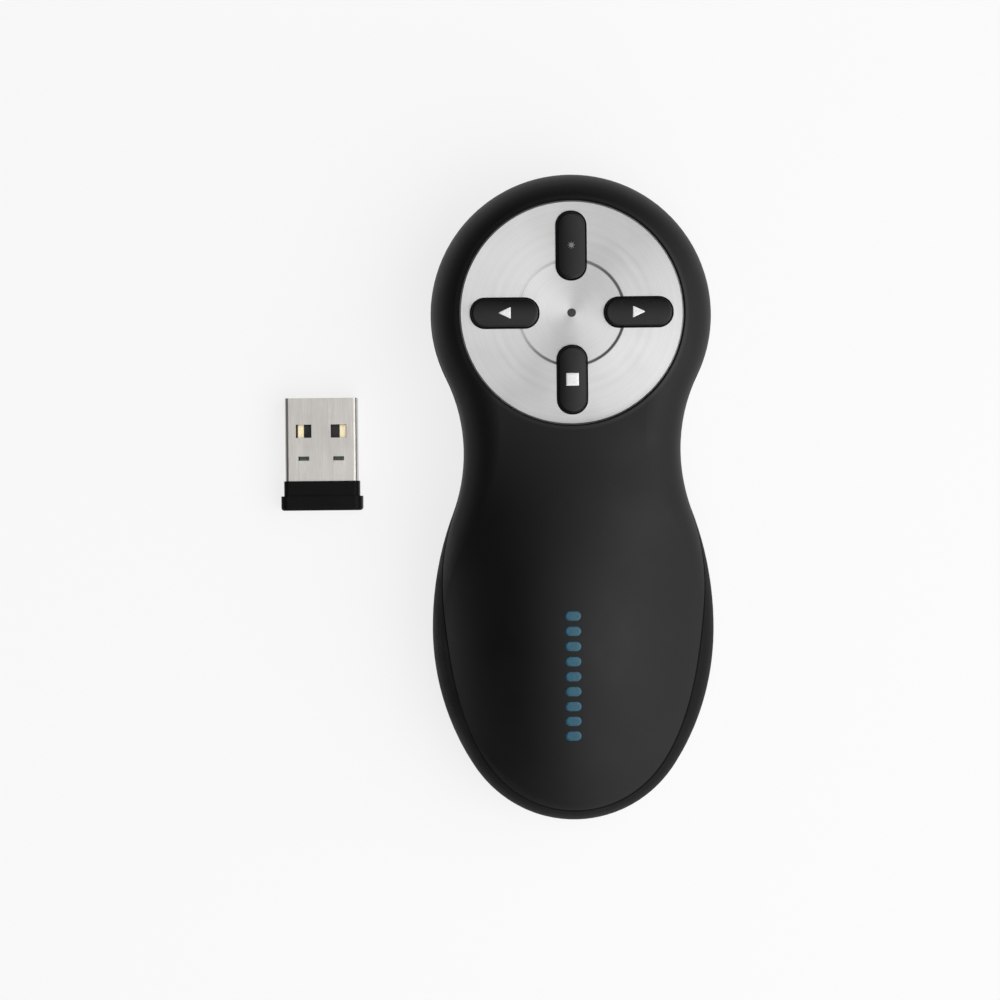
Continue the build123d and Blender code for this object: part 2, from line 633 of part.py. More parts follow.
def battery_bridge():
    """One strip at the head end that joins the two cells in series."""
    face = tray_y1 - CONTACT_T
    half = cell_x + CONTACT_HALF_W
    strip = contact_plate(-half, half, face, tray_y1)
    return strip + bump(-cell_x, face - CONTACT_BUMP, face)


def battery_spring_head():
    return coil(cell_x, tray_y1 - CONTACT_T - SPRING_L)


# ================================================================== board and electronics
def main_pcb():
    head = Pos(0, HEAD_Y, 0) * Circle(HEAD_R - PCB_HEAD_GAP)
    spine_l = HEAD_Y - PCB_TAIL_Y
    spine = Pos(0, PCB_TAIL_Y + spine_l / 2) * RectangleRounded(2 * PCB_HALF, spine_l, 2)
    board = extrude((head + spine) & outline(PCB_HEAD_GAP), PCB_T)
    board = Pos(0, 0, pcb_z) * board
    for y in SPINE_SCREW_Y:
        board -= post(0, y, pcb_z, pcb_top, SCREW_R + PASS_GAP)
    for x in (-HEAD_SCREW_X, HEAD_SCREW_X):
        board -= post(x, HEAD_SCREW_Y, pcb_z, pcb_top, SCREW_R + PASS_GAP)
    board -= terminal_slots(pcb_z, pcb_top)
    for x in (-LEAD_X, LEAD_X):
        board -= post(x, lead_y(), pcb_z, pcb_top, LEAD_R + 0.1)
    return board


def on_board(size, x, y):
    """A box of a given size that stands on the board."""
    return Pos(x, y, pcb_top + size[2] / 2) * Box(*size)


def radio_chip():
    return on_board(RADIO_CHIP, 0, RADIO_CHIP_Y)


def radio_crystal():
    return on_board(CRYSTAL, *CRYSTAL_AT)


def board_capacitors():
    """Small chip parts around the radio chip."""
    return group(
        on_board(CHIP_PART, start[0] + n * step[0], start[1] + n * step[1])
        for start, step, count in CHIP_PART_ROWS
        for n in range(count)
    )


def board_antenna():
    """A folded copper trace at the tail end of the board."""
    y0 = PCB_TAIL_Y + 1.0
    legs = []
    for n in range(ANTENNA_LEGS):
        x = ANTENNA_X + n * ANTENNA_PITCH
        legs.append(block(x, x + ANTENNA_W, y0, y0 + ANTENNA_L, pcb_top, pcb_top + ANTENNA_T))
        y = y0 if n % 2 else y0 + ANTENNA_L - ANTENNA_W
        over = x + ANTENNA_PITCH + ANTENNA_W
        legs.append(block(x, over, y, y + ANTENNA_W, pcb_top, pcb_top + ANTENNA_T))
    return legs[0] + legs[1:]


def indicator_led():
    return on_board(LED_SIZE, 0, HEAD_Y)


def indicator_light_pipe():
    """Clear pin that carries the indicator's light up to the middle of the faceplate."""
    foot = pcb_top + LED_SIZE[2] + LED_GAP
    pipe = post(0, HEAD_Y, foot, floor_z + FLOOR_T, PIPE_R)
    return pipe + post(0, HEAD_Y, foot, plate_top - DISH_STEP - DISH_CONE, PIPE_TIP_R)


# ================================================================== buttons and their switches
def switch_base():
    side = SWITCH_SIDE / 2
    base = block(-side, side, -side, side, pcb_top, pcb_top + SWITCH_WALL_H)
    return base - post(0, 0, pcb_top + SWITCH_FLOOR, pcb_top + SWITCH_WALL_H, STEM_FLANGE_R + 0.2)


def switch_cover():
    side = SWITCH_SIDE / 2 - 0.1
    z = pcb_top + SWITCH_WALL_H
    cover = block(-side, side, -side, side, z, z + COVER_T)
    return cover - post(0, 0, z, z + COVER_T, COVER_HOLE_R)


def switch_stem():
    under_cover = pcb_top + SWITCH_WALL_H - RUN_GAP
    stem = post(0, 0, under_cover - STEM_FLANGE_T, under_cover, STEM_FLANGE_R)
    return stem + post(0, 0, under_cover, flange_z, STEM_R)


def switch_dome():
    """Snap dome that the stem presses on, a thin spherical cap."""
    z0 = pcb_top + SWITCH_FLOOR
    rise = pcb_top + SWITCH_WALL_H - RUN_GAP - STEM_FLANGE_T - z0
    ball_r = (DOME_R**2 + rise**2) / (2 * rise)
    centre = z0 + rise - ball_r
    cap = Pos(0, 0, centre) * Sphere(ball_r)
    cap -= Pos(0, 0, centre) * Sphere(ball_r - DOME_T)
    return cap & post(0, 0, z0, z0 + 2 * rise, DOME_R + 1)


def button_cap():
    """A button: an arched cap that shows through the faceplate, on a flange below the floor."""
    top = plate_top + BUTTON_PROUD
    grow = -2 * CAP_SIDE_GAP
    cap = oblong(SLOT_L + grow, SLOT_W + grow, SLOT_CORNER - CAP_SIDE_GAP, flange_z, top)
    arch = Rot(0, 90, 0) * Cylinder(BUTTON_CROWN_R, 2 * SLOT_L)
    cap = cap & (Pos(0, 0, top - BUTTON_CROWN_R) * arch)
    lip = [e for e in cap.edges() if e.bounding_box().min.Z > plate_top]
    cap = fillet(lip, BUTTON_EDGE)
    reach = 2 * FLANGE_REACH + grow
    corner = SLOT_CORNER + reach / 2
    return cap + oblong(SLOT_L + reach, SLOT_W + reach, corner, flange_z, flange_z + FLANGE_T)


# ================================================================== faceplate
def faceplate():
    """Round plate with a bevelled edge, a slightly coned dish, four slots and a light hole."""
    plate = post(0, HEAD_Y, plate_z, plate_top, PLATE_R)
    plate = chamfer(plate.edges().group_by(Axis.Z)[-1], PLATE_CHAMFER)
    low = (Align.CENTER, Align.CENTER, Align.MIN)
    step_z = plate_top - DISH_STEP
    bevel = Pos(0, HEAD_Y, step_z) * Cone(DISH_R - DISH_BEVEL, DISH_R, DISH_STEP, align=low)
    cone = Cone(PIPE_TIP_R, DISH_R - DISH_BEVEL, DISH_CONE, align=low)
    plate -= [bevel, Pos(0, HEAD_Y, step_z - DISH_CONE) * cone]
    plate -= button_prism(0, plate_z, plate_top)
    return plate - post(0, HEAD_Y, plate_z, plate_top, PIPE_TIP_R + PIPE_GAP)


def faceplate_tape():
    z0, z1 = plate_z - TAPE_T, plate_z
    tape = post(0, HEAD_Y, z0, z1, PLATE_R - 0.5)
    for slot in button_prism(0.4, z0, z1):
        tape -= slot
    return tape - post(0, HEAD_Y, z0, z1, 2.0)


# ================================================================== laser
def lead_y():
    """Where the laser's leads go up through the board."""
    return BARREL_END_Y - BARREL_L - DIODE_FLANGE_T - LEAD_L


def laser_barrel():
    y0 = BARREL_END_Y - BARREL_L
    return rod(0, y0, BARREL_END_Y, LASER_Z, BARREL_R) - rod(0, y0, BARREL_END_Y, LASER_Z, BARREL_BORE)


def laser_lens():
    """Collimating lens: a short cylinder with a bulging front."""
    y1 = BARREL_END_Y - LENS_SET_BACK
    body = rod(0, y1 - LENS_T, y1, LASER_Z, BARREL_BORE)
    return body & (Pos(0, y1 - LENS_BALL_R, LASER_Z) * Sphere(LENS_BALL_R))


def laser_diode():
    y0 = BARREL_END_Y - BARREL_L
    return rod(0, y0 - DIODE_FLANGE_T, y0, LASER_Z, DIODE_FLANGE_R) + rod(
        0, y0, y0 + DIODE_CAN_L, LASER_Z, BARREL_BORE
    )


def laser_leads():
    """Two stiff leads from the diode, back and up through the board."""
    start = BARREL_END_Y - BARREL_L - DIODE_FLANGE_T
    leads = []
    for x in (-LEAD_X, LEAD_X):
        points = ((x, start, LASER_Z), (x, lead_y(), LASER_Z), (x, lead_y(), pcb_top + SOLDER_PROUD))
        path = FilletPolyline(*points, radius=LEAD_BEND)
        profile = Plane(origin=path @ 0, z_dir=path % 0) * Circle(LEAD_R)
        leads.append(sweep(profile, path=path))
    return group(leads)


def laser_bezel():
    y1 = HEAD_Y + HEAD_R
    ring = rod(0, y1 - BEZEL_L, y1 + 1, LASER_Z, BEZEL_R) & outer
    ring -= rod(0, y1 - WINDOW_SET_BACK - WINDOW_T, y1 + 1, LASER_Z, WINDOW_R + PILOT_GAP)
    return ring - rod(0, y1 - BEZEL_L, y1, LASER_Z, BARREL_BORE)


def laser_window():
    y1 = HEAD_Y + HEAD_R - WINDOW_SET_BACK
    return rod(0, y1 - WINDOW_T, y1, LASER_Z, WINDOW_R)


# ================================================================== screws
def case_screws():
    spine = [screw(0, y, roof_z, SPINE_SCREW_L, True) for y in SPINE_SCREW_Y]
    sides = (-HEAD_SCREW_X, HEAD_SCREW_X)
    return group(spine + [screw(x, HEAD_SCREW_Y, HEAD_SCREW_SEAT, HEAD_SCREW_L, True) for x in sides])


def chassis_screws():
    places = [(side * x, y) for x, y in CHASSIS_SCREWS for side in (-1, 1)]
    return group(screw(x, y, EAR_Z + EAR_T, CHASSIS_SCREW_L, False) for x, y in places)


# ================================================================== bay switch
def bay_switch_body():
    width, depth = BAY_SWITCH_SIZE
    y0, y1 = BAY_SWITCH_Y - depth / 2, BAY_SWITCH_Y + depth / 2
    body = block(-width / 2, width / 2, y0, y1, bay_switch_z, pcb_z)
    floor = bay_switch_z + BAY_SWITCH_WALL
    body -= post(0, BAY_SWITCH_Y, floor, pcb_z - BAY_SWITCH_WALL, PLUNGER_FLANGE_R + 2 * RUN_GAP)
    return body - post(0, BAY_SWITCH_Y, bay_switch_z, floor, PLUNGER_R + RUN_GAP)


def bay_switch_plunger():
    tip = bay_roof - PLUNGER_TRAVEL - PLUNGER_REST
    flange = bay_switch_z + BAY_SWITCH_WALL + RUN_GAP
    pin = post(0, BAY_SWITCH_Y, tip, flange, PLUNGER_R)
    pin = fillet(pin.edges().group_by(Axis.Z)[0], PLUNGER_R / 2)
    return pin + post(0, BAY_SWITCH_Y, flange, flange + PLUNGER_FLANGE_T, PLUNGER_FLANGE_R)


# ================================================================== USB receiver
def receiver_place():
    """The receiver lies on its cap, its plug pointing the same way as the clicker's head."""
    return Pos(RECEIVER_X, RECEIVER_TIP_Y, CAP_H / 2)


def receiver_shield():
    """Rolled shield with two latch windows, and two lanced tabs on its upper side."""
    shell = tube_box(PLUG_W, PLUG_H, PLUG_CORNER, plug_end, 0, 0)
    hollow = (PLUG_W - 2 * SHIELD_T, PLUG_H - 2 * SHIELD_T, PLUG_CORNER - SHIELD_T)
    shell -= tube_box(*hollow, plug_end, 0, 0)
    back, front = LANCE
    face = PLUG_H / 2
    ramp = make_face(Polyline((back, face), (front, face + LANCE_RISE), (front, face), close=True))
    tab = extrude(Plane.YZ * ramp, LANCE_W / 2, both=True)
    for x in (-WINDOW_X, WINDOW_X):
        half, y = WINDOW_W / 2, -WINDOW_FROM_TIP
        shell -= block(x - half, x + half, y - WINDOW_L / 2, y + WINDOW_L / 2, -PLUG_H, PLUG_H)
        half = LANCE_W / 2
        shell -= block(x - half, x + half, front, front + LANCE_SLIT, 0, PLUG_H)
        shell += Pos(x, 0, 0) * tab
    return shell


def receiver_insulator():
    """The tongue inside the plug, over its whole length."""
    width, height = PLUG_W - 2 * SHIELD_T, PLUG_H - 2 * SHIELD_T
    tongue = block(-width / 2, width / 2, plug_end, -INSULATOR_SET_BACK, tongue_floor, tongue_top)
    return tongue & tube_box(width, height, PLUG_CORNER - SHIELD_T, plug_end, 0, 0)


def receiver_contacts():
    half, top = PLUG_CONTACT_W / 2, tongue_top + PLUG_CONTACT_T
    return group(
        block(x - half, x + half, PLUG_CONTACT_END, start, tongue_top, top) for x, start in PLUG_CONTACTS
    )


def receiver_board():
    """Little circuit board on the back of the tongue, inside the plug and the cap."""
    top = tongue_top + PLUG_BOARD_T
    return block(-PLUG_BOARD_HALF, PLUG_BOARD_HALF, plug_end, PLUG_BOARD_START, tongue_top, top)


def receiver_chip():
    foot = tongue_top + PLUG_BOARD_T
    return Pos(0, PLUG_CHIP_Y, foot + PLUG_CHIP[2] / 2) * Box(*PLUG_CHIP)


def receiver_cap():
    rear = tube_box(CAP_W, CAP_H, CAP_CORNER, cap_end, -PLUG_L - COLLAR_L, 0)
    rear = fillet(rear.edges().group_by(Axis.Y)[0], CAP_SOFTEN)
    around = (PLUG_W + 2 * COLLAR_GROW, PLUG_H + 2 * COLLAR_GROW, PLUG_CORNER + COLLAR_GROW)
    collar = tube_box(*around, -PLUG_L - COLLAR_L, -PLUG_L, 0)
    return rear + collar - tube_box(PLUG_W, PLUG_H, PLUG_CORNER, plug_end, -PLUG_L, 0)


# ================================================================== every node
def all_nodes():
    nodes = {
        "top_shell": top_shell(),
        "bottom_shell": bottom_shell(),
        "inner_chassis": inner_chassis(),
        "battery_door": battery_door(),
        "faceplate": faceplate(),
        "faceplate_tape": faceplate_tape(),
        "indicator_light_pipe": indicator_light_pipe(),
        "indicator_led": indicator_led(),
        "main_pcb": main_pcb(),
        "radio_chip": radio_chip(),
        "radio_crystal": radio_crystal(),
        "board_capacitors": board_capacitors(),
        "board_antenna": board_antenna(),
        "laser_barrel": laser_barrel(),
        "laser_lens": laser_lens(),
        "laser_diode": laser_diode(),
        "laser_leads": laser_leads(),
        "laser_bezel": laser_bezel(),
        "laser_window": laser_window(),
        "battery_cell_left": battery_cell(-cell_x, True),
        "battery_cell_right": battery_cell(cell_x, False),
        "battery_terminal_negative": battery_terminal_negative(),
        "battery_terminal_positive": battery_terminal_positive(),
        "battery_bridge": battery_bridge(),
        "battery_spring_tail": battery_spring_tail(),
        "battery_spring_head": battery_spring_head(),
        "case_screws": case_screws(),
        "chassis_screws": chassis_screws(),
        "bay_switch_body": bay_switch_body(),
        "bay_switch_plunger": bay_switch_plunger(),
    }
    for name, angle in BUTTONS.items():
        place = at_button(angle)
        nodes[f"{name}_button"] = place * button_cap()
        nodes[f"{name}_switch_base"] = place * switch_base()
        nodes[f"{name}_switch_cover"] = place * switch_cover()
        nodes[f"{name}_switch_dome"] = place * switch_dome()
        nodes[f"{name}_switch_stem"] = place * switch_stem()
    receiver = {
        "receiver_shield": receiver_shield(),
        "receiver_insulator": receiver_insulator(),
        "receiver_contacts": receiver_contacts(),
        "receiver_board": receiver_board(),
        "receiver_chip": receiver_chip(),
        "receiver_cap": receiver_cap(),
    }
    for name, shape in receiver.items():
        nodes[name] = receiver_place() * shape
    return nodes


os.makedirs("parts", exist_ok=True)
for node, shape in all_nodes().items():
    export_step(shape, f"parts/{node}.step")
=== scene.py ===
import json
import math

import bmesh
import bpy
from bpy.props import FloatProperty, FloatVectorProperty, IntProperty, PointerProperty
from mathutils import Matrix, Vector
from mathutils.bvhtree import BVHTree

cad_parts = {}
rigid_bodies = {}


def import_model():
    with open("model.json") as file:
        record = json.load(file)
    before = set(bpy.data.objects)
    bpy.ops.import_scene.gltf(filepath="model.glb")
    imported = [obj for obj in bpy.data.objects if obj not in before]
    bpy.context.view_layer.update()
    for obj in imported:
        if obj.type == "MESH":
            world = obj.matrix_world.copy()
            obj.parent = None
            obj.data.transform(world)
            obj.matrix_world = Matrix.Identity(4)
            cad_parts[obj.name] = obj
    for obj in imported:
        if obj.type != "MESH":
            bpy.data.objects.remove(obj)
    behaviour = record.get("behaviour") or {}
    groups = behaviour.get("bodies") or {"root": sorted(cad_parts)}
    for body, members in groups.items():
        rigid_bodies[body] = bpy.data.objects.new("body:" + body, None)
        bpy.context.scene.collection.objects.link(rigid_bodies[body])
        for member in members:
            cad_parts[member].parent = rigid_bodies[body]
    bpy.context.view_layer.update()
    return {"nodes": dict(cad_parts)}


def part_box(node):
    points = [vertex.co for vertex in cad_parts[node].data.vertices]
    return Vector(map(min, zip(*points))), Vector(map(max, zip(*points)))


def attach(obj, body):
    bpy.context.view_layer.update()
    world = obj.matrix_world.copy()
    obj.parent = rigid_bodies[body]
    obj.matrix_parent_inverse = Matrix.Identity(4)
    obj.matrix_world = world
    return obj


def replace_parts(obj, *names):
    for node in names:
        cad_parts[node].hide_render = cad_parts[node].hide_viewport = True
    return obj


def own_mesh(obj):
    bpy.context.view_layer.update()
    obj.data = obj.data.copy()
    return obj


bl_info = {
    "name": "Presentation clicker dresser",
    "version": (1, 0, 0),
    "blender": (4, 5, 0),
    "location": "View3D > Sidebar > Clicker",
    "description": "Finishes and small pieces for a hand-held presentation clicker and its receiver",
    "category": "Object",
}

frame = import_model()
NODES = frame["nodes"]
MM = 0.001
SQUARE = ((-1, -1), (1, -1), (1, 1), (-1, 1))  # corners of a square that reaches 1 each way

# Stage, in metres.
ROOM_LIGHT = 0.05  # strength of the world, the same for every ray
FLOOR_HALF = 6.0
FLOOR_DROP = 0.02 * MM  # keeps the floor just clear of the belly
FLOOR_GLOW = 0.8  # share of plain white that camera, glossy and transmission rays see
VIEW_LEVEL = 0.01  # height over the floor at which the width of the view is taken
CLIP_START = 0.01
SENSOR_MM = 36
LAMPS = {  # place from the point that the camera looks at, width and length, radiance
    "key": ((0.55, -0.24, 0.50), (2.3, 1.2), 1.43),
    "overhead": ((0.30, -0.12, 0.8), (0.6, 1.2), 1.4),
}

# Row frame: the origin is under the palm, +Y towards the button head, +Z up.
PLATE_LOW, PLATE_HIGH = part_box("faceplate")
PLATE_R = (PLATE_HIGH.x - PLATE_LOW.x) / 2
PLATE_TOP = PLATE_HIGH.z
HEAD = Vector((0, (PLATE_LOW.y + PLATE_HIGH.y) / 2, PLATE_TOP))
BUTTONS = ("laser", "forward", "back", "stop")

# The dish turned into the faceplate: the radii its own tone fades between, and the step round it,
# where a ring of painted shade lies, with that ring's width.
DISH_FADE = (8.0 * MM, 8.4 * MM)
DISH_STEP_SHADE = 8.53 * MM
DISH_STEP_SHADE_WIDTH = 0.42 * MM
WORN_RIM = 0.5 * MM  # how far the skin is worn beside the faceplate

# Print and inlay: how far they stand out of the surface, how deep they reach, their rings.
INK_LIFT, INK_DEPTH = 0.012 * MM, 0.02 * MM
INLAY_LIFT, INLAY_DEPTH = 0.015 * MM, 0.05 * MM
PATCH_RINGS = 4


def middle(node):
    """Centre of a CAD node's box."""
    low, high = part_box(node)
    return (low + high) / 2


# ---------------------------------------------------------------- settings in the sidebar
def colour(name, text, value):
    return FloatVectorProperty(
        name=name, description=text, subtype="COLOR", size=3, min=0, max=1, default=value
    )


def length(name, text, value):
    return FloatProperty(name=name, description=text, unit="LENGTH", default=value, precision=5)


def share(name, text, value):
    return FloatProperty(
        name=name, description=text, subtype="FACTOR", min=0, max=1, default=value
    )


class CasingSettings(bpy.types.PropertyGroup):
    skin: colour("Soft-touch skin", "Colour of the painted top shell", (0.0015, 0.0015, 0.0017))
    skin_rough: share("Skin roughness", "How matt the painted top shell is", 0.55)
    plastic: colour(
        "Bare plastic", "Colour of the bottom shell and the battery door", (0.0018, 0.0018, 0.002)
    )
    grain: length("Grain", "Size of the moulded grain on bare plastic", 0.28 * MM)


class FaceplateSettings(bpy.types.PropertyGroup):
    metal: colour("Metal", "Colour of the turned faceplate", (0.65, 0.65, 0.646))
    rough: share("Roughness", "Roughness along the turning lines", 0.36)
    metallic: share("Metallic", "How metallic the clear-coated finish looks", 0.8)
    along: share("Brush", "How strongly the turning lines stretch highlights", 0.62)
    pitch: length("Line pitch", "Spacing of the turning lines", 0.11 * MM)


class ButtonSettings(bpy.types.PropertyGroup):
    cap: colour("Button", "Colour of the button caps", (0.003, 0.003, 0.0034))
    print_white: colour("Symbols", "Colour of the printed symbols", (0.86, 0.87, 0.88))
    print_grey: colour("Laser symbol", "Colour of the laser symbol", (0.16, 0.17, 0.17))
    arrow: length("Arrow height", "Height of the forward and back triangles", 1.93 * MM)
    square: length("Square", "Side of the stop square", 2.05 * MM)
    burst: length("Burst", "Width of the laser symbol", 1.4 * MM)


class MarkSettings(bpy.types.PropertyGroup):
    blue: colour("Inlay", "Colour of the inlay on the palm", (0.009, 0.076, 0.122))
    across: length("Across", "Place of the inlay across the palm", -0.4 * MM)
    start: length("Start", "Front end of the inlay", 2.8 * MM)
    reach: length("Length", "Length of the row of bars", 21.9 * MM)
    width: length("Width", "Width of each bar", 2.6 * MM)
    bars: IntProperty(name="Bars", description="How many bars the inlay has", default=9, min=1)


class ReceiverSettings(bpy.types.PropertyGroup):
    steel: colour("Shield", "Colour of the plug's shield", (0.6, 0.575, 0.546))
    rough: share("Roughness", "Roughness of the rolled shield", 0.3)


class StudioSettings(bpy.types.PropertyGroup):
    floor: colour("Floor", "Colour of the floor", (0.93, 0.93, 0.93))
    distance: length("Camera height", "Camera above the floor", 0.47)
    aim_x: length("Aim across", "Where the camera looks, across", -11.85 * MM)
    aim_y: length("Aim along", "Where the camera looks, along", 20.2 * MM)
    width: length("View width", "Width of the camera's view at the clicker's waistline", 164.5 * MM)
    roll: FloatProperty(
        name="Roll", description="Camera roll", subtype="ANGLE", default=math.radians(-0.57)
    )


# ---------------------------------------------------------------- shader helpers
class Tree:
    """Adds nodes to a shader tree. A value that is a socket gets linked, and any other is set."""

    def __init__(self, tree):
        self.tree = tree

    def feed(self, socket, value):
        if isinstance(value, bpy.types.NodeSocket):
            self.tree.links.new(value, socket)
        else:
            socket.default_value = value

    def add(self, kind, values=None, **settings):
        made = self.tree.nodes.new("ShaderNode" + kind)
        for name, value in settings.items():
            setattr(made, name, value)
        for key, value in (values or {}).items():
            self.feed(made.inputs[key], value)
        return made

    def math(self, operation, a, b=0.0):
        return self.add("Math", {0: a, 1: b}, operation=operation).outputs[0]

    def span(self, value, low, high, out_low=0.0, out_high=1.0):
        """Maps low..high onto out_low..out_high, held at both ends."""
        values = {
            "Value": value, "From Min": low, "From Max": high, "To Min": out_low, "To Max": out_high,
        }
        return self.add("MapRange", values, interpolation_type="SMOOTHSTEP").outputs[0]

    def vector(self, operation, a, b=None):
        """The node itself, because a length comes out of another socket than a vector."""
        values = {0: a} if b is None else {0: a, 1: b}
        return self.add("VectorMath", values, operation=operation)

    def tilt(self, start, factor, value):
        """start + factor * value: how a mask makes a finish rougher or smoother."""
        return self.math("ADD", start, self.math("MULTIPLY", value, factor))

    def noise(self, vector, size, detail=2.0, rough=0.5):
        """Noise with features of about size metres."""
        scale = self.math("DIVIDE", 1.0, size)
        values = {"Vector": vector, "Scale": scale, "Detail": detail, "Roughness": rough}
        return self.add("TexNoise", values).outputs[0]

    def mix(self, factor, a, b):
        values = {0: factor, 6: rgba(a), 7: rgba(b)}
        return self.add("Mix", values, data_type="RGBA").outputs[2]

    def group(self, tree, values):
        made = self.tree.nodes.new("ShaderNodeGroup")
        made.node_tree = tree
        for key, value in values.items():
            self.feed(made.inputs[key], value)
        return made


def rgba(value):
    """A colour as a socket takes it. A socket goes through unchanged."""
    if isinstance(value, bpy.types.NodeSocket):
        return value
    return (*value, 1.0) if len(value) == 3 else value


def times(base, factor, lift=0.0):
    """Each channel of a colour times factor, plus lift, and 1 at most."""
    return [min(1, c * factor + lift) for c in base]


def shader_group(name, inputs, outputs):
    """An empty group: inputs are name to (type, default), outputs are name to type."""
    tree = bpy.data.node_groups.new(name, "ShaderNodeTree")
    for label, (kind, value) in inputs.items():
        socket = tree.interface.new_socket(label, in_out="INPUT", socket_type="NodeSocket" + kind)
        if value is not None:
            socket.default_value = value
    for label, kind in outputs.items():
        tree.interface.new_socket(label, in_out="OUTPUT", socket_type="NodeSocket" + kind)
    return tree, tree.nodes.new("NodeGroupInput").outputs, tree.nodes.new("NodeGroupOutput").inputs


def once(build):
    """Builds a node group the first time it is asked for."""
    def get():
        made = bpy.data.node_groups.get(build.__name__)
        return made or build()
    return get


NOISE_SPAN = (0.3, 0.7)  # where most values of a noise lie
MATT = {"Specular IOR Level": 0.15}  # bare black plastic, which reflects little


@once
def moulded_grain():
    """Fine pitted texture of a spark-eroded mould."""
    pit_depth, ripple_size = 0.6, 1.7  # against the ripple's depth and the pits' size
    inputs = {"Position": ("Vector", None), "Size": ("Float", 0.3 * MM)}
    outputs = {"Height": "Float", "Tone": "Float"}
    tree, given, result = shader_group("moulded_grain", inputs, outputs)
    t = Tree(tree)
    per_metre = t.math("DIVIDE", 1.0, given["Size"])
    pits = t.add("TexVoronoi", {"Vector": given["Position"], "Scale": per_metre})
    ripple = t.noise(given["Position"], t.math("MULTIPLY", given["Size"], ripple_size), detail=3.0)
    height = t.math("ADD", t.math("MULTIPLY", pits.outputs["Distance"], pit_depth), ripple)
    t.feed(result["Height"], height)
    t.feed(result["Tone"], t.span(ripple, *NOISE_SPAN))
    return tree


@once
def handling_marks():
    """Soft greasy patches and a few dust specks, from 0 to 1."""
    speck_spacing, dusty_patch = 1.6 * MM, 5 * MM
    speck_edge = (0.03, 0.07)  # as shares of the spacing
    inputs = {"Position": ("Vector", None), "Size": ("Float", 9 * MM)}
    outputs = {"Grease": "Float", "Dust": "Float"}
    tree, given, result = shader_group("handling_marks", inputs, outputs)
    t = Tree(tree)
    patch = t.noise(given["Position"], given["Size"], detail=3.0, rough=0.6)
    t.feed(result["Grease"], t.span(patch, 0.42, 0.68))
    speck = t.add("TexVoronoi", {"Vector": given["Position"], "Scale": 1 / speck_spacing})
    near = t.span(speck.outputs["Distance"], *speck_edge, 1.0, 0.0)
    keep = t.span(t.noise(given["Position"], dusty_patch), 0.55, 0.62)
    t.feed(result["Dust"], t.math("MULTIPLY", near, keep))
    return tree


@once
def turned_lines():
    """Lines left by a turning tool round a centre."""
    fine_share, coarse_share = 0.85, 0.15
    coarse_scale = 0.13  # coarse lines for each fine one
    broken_size, faintest = 2.2 * MM, 0.7  # the lines come and go a little on their way round
    inputs = {
        "Position": ("Vector", None), "Centre": ("Vector", None), "Pitch": ("Float", 0.1 * MM),
    }
    outputs = {"Height": "Float", "Tone": "Float", "Radius": "Float"}
    tree, given, result = shader_group("turned_lines", inputs, outputs)
    t = Tree(tree)
    arm = t.vector("SUBTRACT", given["Position"], given["Centre"]).outputs[0]
    flat = t.vector("MULTIPLY", arm, (1, 1, 0)).outputs[0]
    radius = t.vector("LENGTH", flat).outputs["Value"]
    turns = t.math("DIVIDE", radius, given["Pitch"])

    def layer(scale, detail, portion):
        values = {"W": turns, "Scale": scale, "Detail": detail}
        tone = t.add("TexNoise", values, noise_dimensions="1D").outputs[0]
        return t.math("MULTIPLY", tone, portion)

    lines = t.math("ADD", layer(1.0, 3.0, fine_share), layer(coarse_scale, 1.0, coarse_share))
    strength = t.span(t.noise(given["Position"], broken_size), 0.2, 0.8, faintest, 1.0)
    t.feed(result["Height"], t.math("MULTIPLY", lines, strength))
    t.feed(result["Tone"], t.span(lines, *NOISE_SPAN))
    t.feed(result["Radius"], radius)
    return tree


@once
def drawn_lines():
    """Straight lines left along one direction by rolling or drawing."""
    inputs = {
        "Position": ("Vector", None),
        "Across": ("Vector", (1, 0.02, 1)),
        "Size": ("Float", 0.1 * MM),
    }
    outputs = {"Height": "Float", "Tone": "Float"}
    tree, given, result = shader_group("drawn_lines", inputs, outputs)
    t = Tree(tree)
    pulled = t.vector("MULTIPLY", given["Position"], given["Across"]).outputs[0]
    lines = t.noise(pulled, given["Size"], detail=3.0, rough=0.6)
    t.feed(result["Height"], lines)
    t.feed(result["Tone"], t.span(lines, *NOISE_SPAN))
    return tree


# a ring mask, used for the worn rim round the faceplate and for the painted shade on the dish's step
@once
def worn_rim_and_shade_ring():
    """1 on a circle of a given radius, and 0 from a given width off it, inside and outside."""
    inputs = {"Radius": ("Float", 0.0), "Ring": ("Float", 0.0), "Width": ("Float", 0.3 * MM)}
    tree, given, result = shader_group("worn_rim_and_shade_ring", inputs, {"Mask": "Float"})
    t = Tree(tree)
    off = t.math("ABSOLUTE", t.math("SUBTRACT", given["Radius"], given["Ring"]))
    t.feed(result["Mask"], t.span(off, 0.0, given["Width"], 1.0, 0.0))
    return tree


def material(name, base, rough, metallic=0.0, **constants):
    """A Principled material. Returns it, its tree helper, the shader and the place on the part."""
    made = bpy.data.materials.new(name)
    made.use_nodes = True
    t = Tree(made.node_tree)
    shader = made.node_tree.nodes["Principled BSDF"]
    values = {"Base Color": rgba(base), "Roughness": rough, "Metallic": metallic}
    for key, value in {**values, **constants}.items():
        t.feed(shader.inputs[key], value)
    place = t.add("TexCoord").outputs["Object"]
    return made, t, shader, place


def bump(t, shader, height, strength, depth):
    made = t.add("Bump", {"Height": height, "Strength": strength, "Distance": depth})
    t.feed(shader.inputs["Normal"], made.outputs[0])


